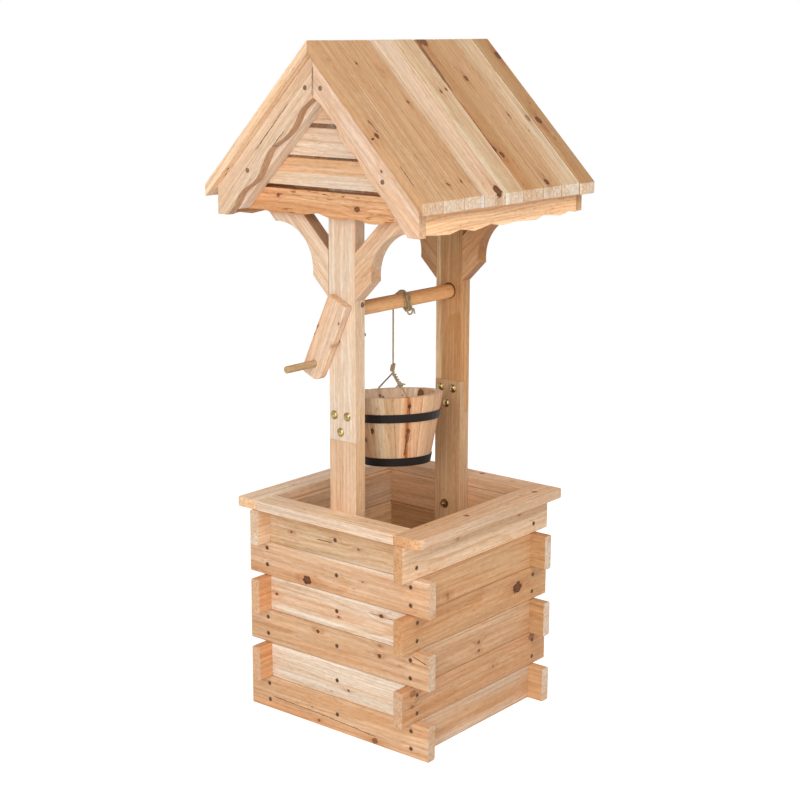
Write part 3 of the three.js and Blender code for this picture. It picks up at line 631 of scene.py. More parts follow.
def jute_fibre():
    material, s, surface = new_material("jute_fibre")
    place = s.add("ShaderNodeTexCoord")["Object"]
    colour = bpy.context.scene.well_finish.jute
    wisps = s.noise(place, 900.0, 900.0, detail=4.0, roughness=0.7)
    patch = s.noise(place, 120.0, 120.0)
    shade = s.mix(s.step(wisps, 0.3, 0.7), shaded(colour, 0.5), shaded(colour, 1.35))
    s.fill(surface, {
        "Base Color": s.toned(shade, (1.12, 1.08, 0.95), s.step(patch, 0.35, 0.7)),
        "Roughness": 0.9,
        "Sheen Weight": 0.25,
        "Sheen Roughness": 0.5,
        "Normal": s.bump(wisps, 0.6, 0.3),
    })
    return material


# Mesh helpers, all in millimetres in the row frame

def as_mesh(name, builder):
    """A mesh in metres out of a bmesh in millimetres, its faces turned outwards."""
    bmesh.ops.recalc_face_normals(builder, faces=builder.faces)
    mesh = bpy.data.meshes.new(name)
    builder.to_mesh(mesh)
    builder.free()
    mesh.transform(Matrix.Scale(MM, 4))
    return mesh


def placed(name, mesh):
    piece = bpy.data.objects.new(name, mesh)
    bpy.context.scene.collection.objects.link(piece)
    return piece


def finished(name, builder, material, body, smooth=False, replaced=()):
    """Turns a bmesh in millimetres into a piece that rides on its body."""
    mesh = as_mesh(name, builder)
    for face in mesh.polygons:
        face.use_smooth = smooth
    mesh.materials.append(material)
    piece = placed(name, mesh)
    if body:
        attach(piece, body)
    if replaced:
        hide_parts(*replaced)
    return piece


def ease_edges(piece, width):
    bevel = piece.modifiers.new("eased", "BEVEL")
    bevel.width = width
    bevel.segments = 2
    bevel.limit_method = "ANGLE"
    bevel.angle_limit = math.radians(35)
    bevel.harden_normals = True
    for face in piece.data.polygons:
        face.use_smooth = True


def around(side, other, turn):
    """A unit step away from an axis, turned from one direction towards the other."""
    return side * math.cos(turn) + other * math.sin(turn)


def ring(builder, centre, side, other, radius, count):
    """Corners evenly spaced on a circle."""
    return [builder.verts.new(centre + around(side, other, math.tau * index / count) * radius)
            for index in range(count)]


def skin(builder, rows, capped=True):
    """Faces over both ends, and from each row of corners to the next."""
    if capped:
        builder.faces.new(reversed(rows[0]))
        builder.faces.new(rows[-1])
    count = len(rows[0])
    for lower, upper in zip(rows, rows[1:]):
        for index in range(count):
            after = (index + 1) % count
            builder.faces.new((lower[index], lower[after], upper[after], upper[index]))


def prism(outline, low, high, place):
    """Slab between two offsets; place(a, b, offset) gives the point of an outline corner."""
    builder = bmesh.new()
    skin(builder, [[builder.verts.new(place(a, b, offset)) for a, b in outline] for offset in (low, high)])
    return builder


def upright(a, b, offset):
    return (a, offset, b)


def level(a, b, offset):
    return (a, b, offset)


def spun(profile, centre, axis, sides):
    """Lathed solid: profile is (radius, height) pairs from one end of the axis to the other."""
    builder = bmesh.new()
    axis = Vector(axis).normalized()
    side = axis.orthogonal().normalized()
    other = axis.cross(side)
    centre = Vector(centre)
    tip = None
    rows = []
    for radius, height in profile:
        if radius:
            rows.append(ring(builder, centre + axis * height, side, other, radius, sides))
        else:
            tip = builder.verts.new(centre + axis * height)
    skin(builder, rows, capped=False)
    builder.faces.new(reversed(rows[0]))
    if tip:
        for index in range(sides):
            builder.faces.new((rows[-1][index], rows[-1][(index + 1) % sides], tip))
    else:
        builder.faces.new(rows[-1])
    return builder


def merged(builders):
    """One bmesh out of several."""
    whole = bmesh.new()
    for builder in builders:
        mesh = bpy.data.meshes.new("part")
        builder.to_mesh(mesh)
        builder.free()
        whole.from_mesh(mesh)
        bpy.data.meshes.remove(mesh)
    return whole


def drill(piece, cutters):
    """Cuts round holes: each cutter is a lathed bmesh in millimetres."""
    tool = placed("drill", as_mesh("drill", merged(cutters)))
    bore = piece.modifiers.new("bore", "BOOLEAN")
    bore.operation = "DIFFERENCE"
    bore.solver = "EXACT"
    bore.object = tool
    bpy.context.view_layer.update()
    cut = bpy.data.meshes.new_from_object(piece.evaluated_get(bpy.context.evaluated_depsgraph_get()))
    piece.modifiers.clear()
    piece.data = cut
    mesh = tool.data
    bpy.data.objects.remove(tool)
    bpy.data.meshes.remove(mesh)


def smooth_path(points, spacing):
    """Evenly spaced points on a rounded curve through given ones."""
    points = [Vector(point) for point in points]
    ends = [2 * points[0] - points[1], *points, 2 * points[-1] - points[-2]]
    dense = []
    for first, start, finish, last in zip(ends, ends[1:], ends[2:], ends[3:]):
        steps = max(4, int((finish - start).length / spacing * 3))
        for step in range(steps):
            t = step / steps
            dense.append(0.5 * (2 * start + (finish - first) * t
                                + (2 * first - 5 * start + 4 * finish - last) * t * t
                                + (3 * start - first - 3 * finish + last) * t ** 3))
    dense.append(points[-1])
    length = sum((b - a).length for a, b in zip(dense, dense[1:]))
    count = max(2, round(length / spacing))
    result, gone, target = [dense[0]], 0.0, length / count
    for a, b in zip(dense, dense[1:]):
        piece_length = (b - a).length
        while gone + piece_length >= target - 1e-9 and len(result) < count:
            result.append(a.lerp(b, (target - gone) / max(piece_length, 1e-9)))
            target += length / count
        gone += piece_length
    result.append(dense[-1])
    return result


def carried(path):
    """Each point of a path with its direction and two directions across, carried along without twist."""
    tangent = (path[1] - path[0]).normalized()
    normal = tangent.orthogonal().normalized()
    frames = []
    for index, point in enumerate(path):
        ahead = path[min(index + 1, len(path) - 1)] - path[max(index - 1, 0)]
        if ahead.length > 1e-9:
            tangent = ahead.normalized()
        normal = (normal - tangent * normal.dot(tangent)).normalized()
        frames.append((point, tangent, normal, tangent.cross(normal)))
    return frames


def tube(builder, path, radii, sides):
    """Closed tube along a path, with its own radius at each point."""
    skin(builder, [ring(builder, point, side, other, radius, sides)
                   for (point, _, side, other), radius in zip(carried(path), radii)])


def laid_rope(builder, points, radius, seed, frayed=(0.0, 0.0), hairs=0.35):
    """Twisted rope: strands wound round each other, with loose hairs; frayed opens its ends."""
    timber = bpy.context.scene.well_timber
    chance = random.Random(seed)
    lay = timber.strand_lay / MM
    frames = carried(smooth_path(points, ROPE_STEP))
    runs = [0.0]
    for (start, *_), (finish, *_) in zip(frames, frames[1:]):
        runs.append(runs[-1] + (finish - start).length)
    length = runs[-1]
    for strand in range(timber.strands):
        centres, radii = [], []
        for (point, _, side, other), run in zip(frames, runs):
            turn = math.tau * strand / timber.strands + math.tau * run / lay
            open_first = max(0.0, frayed[0] - run) / max(frayed[0], 1e-6)
            open_last = max(0.0, frayed[1] - (length - run)) / max(frayed[1], 1e-6)
            spread = 1 + 1.3 * (open_first ** 2 + open_last ** 2)
            centres.append(point + around(side, other, turn) * radius * 0.5 * spread)
            radii.append(radius * 0.53 * (1 - 0.45 * (open_first + open_last)))
        tube(builder, centres, radii, 6)
    for _ in range(int(length * hairs)):
        point, ahead, side, other = frames[chance.randrange(1, len(frames) - 1)]
        out = around(side, other, chance.uniform(0, math.tau))
        reach = chance.uniform(0.6, 1.7)
        root = point + out * radius * 0.8
        tip = root + out * reach + ahead * chance.uniform(-2.2, 2.2)
        middle = root.lerp(tip, 0.5) + other * chance.uniform(-0.5, 0.5)
        tube(builder, [root, middle, tip], HAIR_RADII, 3)


def winding(steps, turns, spot, phase=0.0):
    """Points of a winding: spot gives each one for its share of the run and its angle."""
    return [spot(step / steps, math.tau * turns * step / steps + phase) for step in range(steps + 1)]


# What the boards show, in millimetres

# Tones of sawn cedar as shares of the finish's mean colour, and the boards of each tone
TONES = {
    "milk": (1.12, 1.24, 1.32), "cream": (1.0, 1.26, 1.55), "blush": (1.0, 1.1, 1.25),
    "ivory": (0.94, 1.06, 1.17), "sand": (0.93, 0.98, 1.02), "wheat": (0.92, 0.9, 0.86),
    "oat": (0.86, 0.91, 0.96), "straw": (0.8, 0.84, 0.79), "butter": (1.16, 1.14, 0.93),
    "rose": (1.03, 1.05, 1.0), "fawn": (0.88, 0.81, 0.7), "tan": (0.82, 0.74, 0.63),
    "nut": (0.78, 0.65, 0.48), "honey": (0.73, 0.68, 0.56), "copper": (0.65, 0.54, 0.37),
    "umber": (0.57, 0.46, 0.3), "amber": (0.91, 0.74, 0.56), "gilt": (1.28, 1.2, 1.03),
    "ash": (0.72, 0.84, 0.89),
}
# Some of these tones are painted light and shade: the inner left wall box_left_5, the far staves stave_5 to
# stave_7 whose inner faces show, and the axle under the roof are lighter as painted light, and the back
# post's post_back_upper and post_back_lower are darker as painted shade
BOARD_TONES = {
    "milk": ("rim_left", "stave_5", "stave_6", "stave_7"),
    "cream": ("box_front_2", "post_front_upper"),
    "blush": ("barge_front_right",),
    "ivory": ("box_front_4", "slat_front_1", "slat_front_2", "roof_right_4", "barge_front_left"),
    "sand": ("post_front_lower", "crank_arm", "brace_front_right", "brace_front_left"),
    "wheat": ("box_front_5", "rim_back", "stave_1", "stave_2"),
    "oat": ("slat_front_3", "box_right_1"),
    "straw": ("box_front_6", "roof_right_5", "roof_right_8", "stave_10"),
    "butter": ("box_left_5",),
    "rose": ("rim_front", "box_right_6", "box_left_6"),
    "fawn": ("box_front_1", "rim_right", "stave_9", "box_back_6"),
    "tan": ("box_front_3", "box_right_2", "box_right_3", "stave_4"),
    "nut": ("box_right_4", "box_right_5", "box_back_1", "brace_back_right", "brace_back_left"),
    "honey": ("roof_right_1", "roof_right_2", "roof_right_3", "roof_right_7", "post_back_lower"),
    "copper": ("roof_right_6", "post_back_upper", "box_back_3", "box_back_5"),
    "umber": ("roof_right_9",),
    "amber": ("gable_fascia_front",),
    "gilt": ("eave_fascia_right", "axle"),
    "ash": ("crank_handle",),
}
# The tone of the sawn ends, where it isn't the board's own; the cream and ivory of the roof boards' ends is
# partly painted light, where these ends face the light
END_TONES = {
    "cream": tuple(f"roof_right_{board}" for board in (2, 3, 4, 5, 7, 8)),
    "ivory": ("roof_right_1", "roof_right_6", "roof_right_9", "box_front_5",
              "box_left_6", "box_back_1", "box_back_3", "box_back_5"),
    "wheat": ("box_left_2", "box_left_4"),
    "oat": ("box_front_1", "box_front_3", "box_right_2"),
    "nut": ("box_right_4", "box_right_6"),
    "sand": tuple(f"stave_{stave}" for stave in range(1, 11)),
}
SPARE_TONES = ("fawn", "rose", "amber", "ivory", "wheat", "tan")
# The narrow faces of some boards as a share of the board's own colour: painted shade on the edges of the
# barges and left braces, and painted light and shade that sets the sides of the posts and rims apart from
# their faces
FLANK_SHADING = {
    "barge_front_left": (0.76, 0.66, 0.58), "barge_back_right": (0.76, 0.66, 0.58),
    "brace_front_left": (0.68, 0.58, 0.5), "brace_back_left": (0.68, 0.58, 0.5),
    "post_front_upper": (0.98, 0.9, 0.82), "post_front_lower": (1.04, 0.98, 0.84),
    "post_back_upper": (1.16, 1.1, 1.06), "post_back_lower": (1.12, 1.24, 1.42),
    "rim_right": (0.95, 1.02, 1.13), "rim_front": (0.91, 0.98, 1.12),
}
# Knots as two places, radius and strength, checks as two ends and a width, and bands as low, high,
# softness and tint: in front the places are x and z, on the right side y and z
FRONT_KNOTS = {
    1: ((88, 7, 5.0, 0.75), (-42, 9, 2.4, 0.8), (-58, 30, 1.3, 0.6)),
    2: ((28, 84, 2.0, 0.9), (-12, 72, 1.3, 0.4)),
    3: ((-43, 176, 3.0, 1.0), (98, 166, 3.2, 1.0), (99, 184, 2.6, 0.35), (144, 159, 1.6, 0.4)),
    4: ((102, 238, 3.4, 1.0), (6, 214, 1.8, 0.9), (-141, 223, 2.5, 0.9)),
    5: ((-67, 266, 6.8, 1.0), (61, 290, 1.5, 0.6), (41, 274, 1.0, 0.5)),
    6: ((-103, 346, 2.4, 0.8), (52, 346, 2.2, 0.7), (-1, 352, 2.2, 0.5)),
}
FRONT_CHECKS = {
    1: (((-162, 25), (-30, 22), 1.0), ((-60, 23), (98, 15), 0.9)),
    3: (((168, 184), (206, 174), 1.3),),
    4: (((70, 239), (140, 237), 0.5),),
    6: (((-46, 345), (-6, 346), 1.0),),
}
FRONT_BANDS = {
    1: ((-40, -17, 3, (0.97, 0.9, 0.84)), (22, 40, 2, (1.04, 1.14, 1.25))),
    2: ((-12, 2, 4, (0.97, 0.9, 0.83)), (-40, -24, 3, (0.99, 0.93, 0.88))),
    4: ((-14, 8, 4, (0.96, 0.84, 0.74)), (14, 20, 1.5, (0.98, 0.9, 0.84)),
        (-40, -20, 3, (1.03, 1.09, 1.15))),
    5: ((-40, -19, 4, (0.94, 0.88, 0.81)), (26.5, 40, 0.8, (1.06, 1.2, 1.35))),
    6: ((6, 40, 5, (0.93, 0.88, 0.82)),),
}
RIGHT_KNOTS = {
    2: ((-180, 118, 6.0, 0.5), (-182, 95, 3.5, 0.5), (48, 96, 3.0, 0.4), (166, 118, 6.5, 0.55)),
    3: ((4, 155, 3.0, 0.75), (5, 139, 2.6, 0.8)),
    4: ((119, 226, 9.4, 1.0),),
    5: ((-88, 268, 3.2, 0.45), (-86, 262, 2.4, 0.4)),
    6: ((120, 363, 3.5, 0.35), (-60, 361, 3.0, 0.3)),
}
RIGHT_BANDS = {
    1: ((-16, 12, 6, (0.93, 0.84, 0.72)), (-40, -20, 3, (1.03, 1.1, 1.18)),
        (20, 40, 3, (1.03, 1.08, 1.12))),
    2: ((-20, -6, 4, (0.96, 0.9, 0.82)),),
    6: ((-2, 14, 5, (0.95, 0.93, 0.9)),),
}
# Screws on the front as x and z, and on the right as y and z
FRONT_SCREWS = (
    (-163, 305), (-163, 274), (166, 304), (166, 272), (1.6, 289),
    (-163, 175), (-163, 144), (166, 175), (166, 143), (1.6, 160),
    (-162, 48), (-161, 17), (168, 48), (168, 16), (1.6, 32),
    (-1, 352), (1.6, 224), (1.6, 96),
)
RIGHT_SCREWS = (
    (-172, 338), (-169, 241), (-170, 209), (-169, 112), (-169, 79),
    (166, 335), (167, 238), (165, 206), (169, 111), (169, 79),
)
BARGE_SCREWS = ((16.5, 1115.5), (-16.5, 1115.5), (-147.7, 977), (144.9, 975.5))
LAP_BOLTS = ((-18, 567), (11, 567.5), (-3.8, 538.5))
# Rim: plugs as x and y, knots as x, y, radius and strength
RIM_PLUGS = {
    "rim_right": ((177, -41), (182, 154)),
    "rim_back": ((35, 195),),
    "rim_left": ((-185, 40),),
}
RIM_KNOTS = {
    "rim_right": ((160, -130, 1.8, 0.5), (190, 60, 2.0, 0.4), (176, 120, 1.6, 0.4)),
    "rim_back": ((-40, 182, 2.4, 0.6), (110, 186, 2.0, 0.5)),
    "rim_left": ((-180, -90, 2.2, 0.5),),
    "rim_front": ((-60, -190, 1.5, 0.4), (70, -176, 1.8, 0.4)),
}
# Right roof slope by board, in x and y
ROOF_KNOTS = {
    0: ((141, -235, 4.0, 1.0), (121, -230, 2.6, 0.6), (30, -222, 1.5, 0.4)),
    1: ((36, -161, 2.2, 1.0), (215, -151, 2.2, 0.9), (216, -147, 1.4, 0.8)),
    2: ((96, -103, 2.6, 0.9), (213, -114, 2.2, 0.9), (48, -112, 4.5, 0.15)),
    3: ((232, -41, 8.5, 1.0),),
    4: ((83, 0, 3.2, 0.8), (80, 17, 2.8, 0.9)),
    5: ((173, 28.5, 4.4, 1.0), (182, 38, 4.4, 1.0), (4, 50, 7.5, 0.9), (5, 38, 5.0, 0.8)),
    6: ((64, 92.5, 4.6, 0.9), (228, 103.5, 4.8, 1.0), (125, 136, 2.2, 0.9)),
    7: ((131, 184, 5.4, 0.6), (150, 160, 1.8, 0.5)),
    8: ((135, 210, 6.2, 1.0), (29, 232, 6.5, 1.0), (166, 217, 1.8, 0.6), (108, 221, 1.8, 0.5)),
}
ROOF_CHECKS = {
    0: (((182, -231), (215, -232), 1.3), ((120, -229), (138, -226), 1.2)),
    5: (((3, 32), (88, 31), 2.4), ((3, 35.5), (66, 35), 1.4), ((95, 30), (190, 28.5), 0.8)),
    6: (((118, 137), (131, 136.5), 1.0),),
}
ROOF_BANDS = {
    2: ((17, 40, 2, (1.05, 1.2, 1.45)),),
    4: ((-40, -16, 2.5, (1.12, 1.3, 1.42)),),
    8: ((-40, -17, 3, (1.14, 1.25, 1.3)),),
}
# Gables, in x and z
SLAT_BANDS = {
    0: ((-2, 40, 2.5, (1.0, 0.84, 0.68)), (-40, -4, 2, (1.02, 1.1, 1.18))),
    2: ((-60, -30, 2, (1.02, 1.06, 1.1)),),
}
BARGE_KNOTS = {
    "barge_front_right": (
        (93, 1070, 3.0, 1.0), (46, 1056, 3.4, 0.9), (43, 1119, 2.0, 0.8),
        (143, 992, 1.8, 0.8), (219, 945, 4.0, 0.8)),
}
BARGE_CHECKS = {
    "barge_front_right": (((0.6, 1152), (1.4, 1100), 1.0),),
    "barge_front_left": (
        ((-49, 1095), (-132, 1007), 1.0), ((-61, 1047), (-92, 1017), 0.7),
        ((-0.6, 1152), (-1.4, 1100), 1.0)),
}
FASCIA_KNOTS = {
    "front": ((56, 923, 4.2, 0.9), (-119, 935, 3.0, 0.8), (130, 926, 2.4, 0.7)),
    "back": ((70, 930, 3.4, 0.8),),
}
# Crank arm: along and across it from the axle
ARM_KNOTS = ((12, 14, 1.8, 0.8), (55, 16.5, 2.6, 0.25), (40, -27, 3.0, 0.9), (56, -27, 2.0, 0.8))
# Staves: turn about the bucket in degrees, height and radius, then a knot's size and strength
STAVE_KNOTS = {
    0: ((0, -17, 83, 2.4, 1.0), (-1, -60, 73, 3.0, 1.0), (-3, -70, 71, 2.0, 0.7), (-4, -100, 64, 1.6, 0.6)),
    9: ((-52, -60, 73, 3.8, 1.0), (-40, -20, 83, 1.2, 0.5)),
    8: ((-67, -77, 70, 3.5, 0.7),),
    5: ((184, -13, 70, 2.4, 0.8),),
    3: ((119, -10, 70, 6.0, 0.8),),
    4: ((150, -14, 70, 1.2, 0.5),),
}
STAVE_CRACKS = {
    0: (((0.5, -4, 86), (0, -40, 78), 1.3), ((-1, -56, 74), (-6, -108, 62), 1.7),
        ((2, -58, 74), (-2, -84, 68), 1.0)),
}
STAVE_BANDS = {
    0: ((-4.6, 0.6, 1.8, (0.6, 0.4, 0.27)), (-10, 6, 3, (0.97, 0.8, 0.64)), (5, 30, 3, (1.02, 0.93, 0.87)),
        (-30, -14, 3, (0.9, 0.88, 0.84))),
    1: ((-30, -15, 1.5, (1.08, 1.15, 1.2)),),
    9: ((-30, -8, 3, (0.97, 0.92, 0.86)), (10, 30, 2, (0.88, 0.85, 0.8))),
}
# The rope's course on the axle: turn in degrees, y, and lift over the turn below
HITCH_COURSE = (
    (-90, -6.2, 0), (-60, -5.6, 0), (-30, -4, 0), (0, -3, 0), (25, -6, 0), (45, -8, 0), (70, -9.5, 0),
    (90, -9.5, 0), (110, -7, 0), (130, -3, 0), (150, 3, 0), (170, 7, 0), (200, 9, 0), (235, 9, 0),
    (270, 7, 0), (300, 4, 0), (330, 0, 0.6), (350, -2.5, 1.5), (366, -2, 1.7), (380, 0.5, 1.4),
    (394, 4, 0.6), (408, 7.5, 0), (420, 7, 0), (440, 4, 0), (450, 3, 0), (470, 4.5, 0), (490, 8, 0.4),
    (510, 12, 0.8), (540, 14, 0), (585, 11, 0), (640, 4, 1.0), (690, 0, 1.2), (712, 2, 2.4),
    (735, 3, 1.8), (760, -0.5, 0.6), (790, -3, 0.6), (810, -2.5, 0.4), (835, 1, 0.4), (860, 5, 1.0),
)


# Pieces

class WELL_OT_stage(bpy.types.Operator):
    """Camera, light, white surround and floor."""
    bl_idname = "well.stage"
    bl_label = "Stage"

    def execute(self, context):
        scene = context.scene
        settings = scene.well_stage
        scene.view_settings.view_transform = "Standard"
        lens = bpy.data.cameras.new("photo_camera")
        lens.lens = CAMERA_LENS
        lens.sensor_width = 36
        lens.shift_x, lens.shift_y = CAMERA_SHIFT
        lens.clip_end = 200
        camera = placed("photo_camera", lens)
        right, up = Vector(CAMERA_RIGHT), Vector(CAMERA_UP)
        turn = Matrix((right, up, right.cross(up))).transposed()
        camera.matrix_world = Matrix.Translation(metres(CAMERA_PLACE)) @ turn.to_4x4()
        scene.camera = camera

        self.lamp("front_light", (1.5, -3.3, 1.6), (0, 0, 0.6), 2.2, settings.key)
        self.lamp("high_light", (2.2, -0.7, 3.1), (0, 0, 0.5), 2.0, settings.high)
        self.surround(scene, settings)
        self.floor(settings)
        return {"FINISHED"}

    def lamp(self, name, place, aim, size, power):
        light = bpy.data.lights.new(name, "AREA")
        light.shape = "SQUARE"
        light.size = size
        light.energy = power
        lamp = placed(name, light)
        lamp.location = place
        lamp.rotation_mode = "QUATERNION"
        lamp.rotation_quaternion = (Vector(aim) - Vector(place)).to_track_quat("-Z", "Y")

    def seen(self, shader):
        """1 for rays that show the floor and surround, 0 for those that light the well."""
        rays = shader.add("ShaderNodeLightPath")
        shown = shader.math("MAXIMUM", rays["Is Camera Ray"], rays["Is Glossy Ray"])
        return shader.math("MAXIMUM", shown, rays["Is Transmission Ray"])

    def surround(self, scene, settings):
        scene.world = bpy.data.worlds.new("studio")
        s = fresh(scene.world)
        light = s.add("ShaderNodeBackground", {"Color": WHITE, "Strength": settings.surround})[0]
        white = s.add("ShaderNodeBackground", {"Color": WHITE, "Strength": 1.0})[0]
        both = s.add("ShaderNodeMixShader", {0: self.seen(s), 1: light, 2: white})[0]
        s.node("ShaderNodeOutputWorld", {"Surface": both})

    def floor(self, settings):
        material = bpy.data.materials.new("studio_floor")
        s = fresh(material)
        matt = s.add("ShaderNodeBsdfDiffuse", {"Color": opaque(settings.floor)})[0]
        glow = s.add("ShaderNodeEmission", {"Color": WHITE, "Strength": FLOOR_GLOW})[0]
        lifted = s.add("ShaderNodeAddShader", {0: matt, 1: glow})[0]
        both = s.add("ShaderNodeMixShader", {0: self.seen(s), 1: matt, 2: lifted})[0]
        s.node("ShaderNodeOutputMaterial", {"Surface": both})
        builder = bmesh.new()
        bmesh.ops.create_circle(builder, cap_ends=True, segments=128, radius=FLOOR_RADIUS)
        mesh = bpy.data.meshes.new("studio_floor")
        builder.to_mesh(mesh)
        builder.free()
        mesh.materials.append(material)
        floor = placed("studio_floor", mesh)
        floor.location.z = -0.2 * MM


def dress(node, material):
    """Gives a CAD node its finish."""
    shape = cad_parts[node]
    shape.data.materials.clear()
    shape.data.materials.append(material)


def node_middle(node):
    low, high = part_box(node)
    return tuple((low + high) / 2 / MM)


def dressed(node, along, across, finish="cedar", **details):
    """Gives a CAD node its own board of cedar, with the grain along the given direction."""
    details["end_tone"] = end_share(node)
    details["flank_shading"] = FLANK_SHADING.get(node)
    dress(node, cedar(f"wood_{node}", along, across, node_middle(node), tinted(node, finish), **details))


class WELL_OT_box(bpy.types.Operator):
    """Cedar for the interlocking boards of the box and for its floor."""
    bl_idname = "well.box"
    bl_label = "Box boards"

    def execute(self, context):
        chance = random.Random(7)
        for course in range(1, 7):
            dressed(
                f"box_front_{course}", X_AXIS, UP, bands=FRONT_BANDS.get(course, ()),
                knots=[((x, -BOX_FACE_Y, z), size, strength)
                       for x, z, size, strength in FRONT_KNOTS[course]],
                checks=[((a[0], -BOX_FACE_Y, a[1]), (b[0], -BOX_FACE_Y, b[1]), width)
                        for a, b, width in FRONT_CHECKS.get(course, ())])
            dressed(
                f"box_right_{course}", Y_AXIS, UP, bands=RIGHT_BANDS.get(course, ()),
                knots=[((BOX_FACE_X, y, z), size, strength)
                       for y, z, size, strength in RIGHT_KNOTS.get(course, ())])
            for side, grain in (("left", Y_AXIS), ("back", X_AXIS)):
                node = f"box_{side}_{course}"
                middle = Vector(node_middle(node))
                knots = [(middle + grain * chance.uniform(-160, 160) + UP * chance.uniform(-20, 20),
                          chance.uniform(2, 5.5), chance.uniform(0.6, 1))
                         for _ in range(chance.choice((1, 2, 3)))]
                dressed(node, grain, UP, knots=knots)
        dressed("planter_floor", X_AXIS, Y_AXIS)
        return {"FINISHED"}


class WELL_OT_rim(bpy.types.Operator):
    """Rim boards on top of the box, with the plugs over their screws."""
    bl_idname = "well.rim"
    bl_label = "Rim boards"

    def outline(self, low_x, high_x, low_y, high_y, corners):
        """Rectangle whose corners have their own radii, from the front left one round."""
        points = []
        signs = ((1, 1), (-1, 1), (-1, -1), (1, -1))
        for quarter, ((sign_x, sign_y), radius) in enumerate(zip(signs, corners)):
            x = (low_x if sign_x > 0 else high_x) + sign_x * radius
            y = (low_y if sign_y > 0 else high_y) + sign_y * radius
            for step in range(RIM_CORNER_STEPS + 1):
                turn = math.radians((180 + 90 * quarter) % 360 + 90 * step / RIM_CORNER_STEPS)
                points.append((x + radius * math.cos(turn), y + radius * math.sin(turn)))
        return points

    def execute(self, context):
        between = (RIM_LEFT_INNER + SEAM, RIM_RIGHT_INNER - SEAM)
        square = (1, 1, 1, 1)
        boards = {
            "rim_left": (-RIM_HALF_X, RIM_LEFT_INNER, -RIM_HALF_Y, RIM_HALF_Y, (5, 2, 2, 5), Y_AXIS),
            "rim_right": (RIM_RIGHT_INNER, RIM_HALF_X, -RIM_HALF_Y, RIM_HALF_Y, (2, 17, 5, 2), Y_AXIS),
            "rim_front": (*between, -RIM_HALF_Y, -RIM_END_INNER, square, X_AXIS),
            "rim_back": (*between, RIM_END_INNER, RIM_HALF_Y, square, X_AXIS),
        }
        plug = countersink_wood()
        for name, (low_x, high_x, low_y, high_y, corners, grain) in boards.items():
            middle = ((low_x + high_x) / 2, (low_y + high_y) / 2, (BOX_TOP + RIM_TOP) / 2)
            knots = [((x, y, RIM_TOP), size, strength) for x, y, size, strength in RIM_KNOTS[name]]
            wood = cedar(f"wood_{name}", grain, UP.cross(grain), middle, tinted(name), knots=knots,
                         flank_shading=FLANK_SHADING.get(name))
            slab = prism(self.outline(low_x, high_x, low_y, high_y, corners), BOX_TOP, RIM_TOP, level)
            piece = finished(f"{name}_board", slab, wood, "well", replaced=(name,))
            ease_edges(piece, PLANED_EASE * MM)
            spots = RIM_PLUGS.get(name)
            if spots:
                drill(piece, [spun(PLUG_HOLE, (x, y, RIM_TOP - 5), UP, 20) for x, y in spots])
                filled = [spun(PLUG_PROFILE, (x, y, RIM_TOP - 0.7), UP, 20) for x, y in spots]
                finished(f"{name}_plugs", merged(filled), plug, "well")
        return {"FINISHED"}


class WELL_OT_posts(bpy.types.Operator):
    """Cedar for the posts and the braces under the gables."""
    bl_idname = "well.posts"
    bl_label = "Posts and braces"

    def execute(self, context):
        dressed("post_front_upper", UP, X_AXIS, fleck=0.2, contrast=0.6,
                knots=(((-6, -POST_OUTER, 695), 2.0, 0.6),),
                bands=((-8, 0, 3, (0.93, 0.86, 0.8)), (20, 40, 3, (1.0, 0.95, 0.9))))
        dressed("post_front_lower", UP, X_AXIS, fleck=0.2, contrast=0.6,
                bands=((-14, -4, 3, (0.96, 0.92, 0.88)),))
        # The pale band along the back post's upper front is painted light
        dressed("post_back_upper", UP, X_AXIS, fleck=0.2, contrast=0.8,
                bands=((-40, -17.5, 1.6, (1.4, 1.75, 2.3)),))
        dressed("post_back_lower", UP, X_AXIS, fleck=0.3, contrast=0.8)
        for end, facing in (("front", 1), ("back", -1)):
            for hand, side in SIDES:
                along = Vector((side * facing, 0, 1)).normalized()
                dressed(f"brace_{end}_{hand}", along, Y_AXIS.cross(along), fleck=0.25, soft_edge=1.2)
        knot = spun(((4.8, -1.2), (4.8, 0), (4.3, 0.2), (0, 0.3)), TIGHT_KNOT, X_AXIS, 20)
        finished("post_front_tight_knot", knot, countersink_wood(), "well")
        return {"FINISHED"}


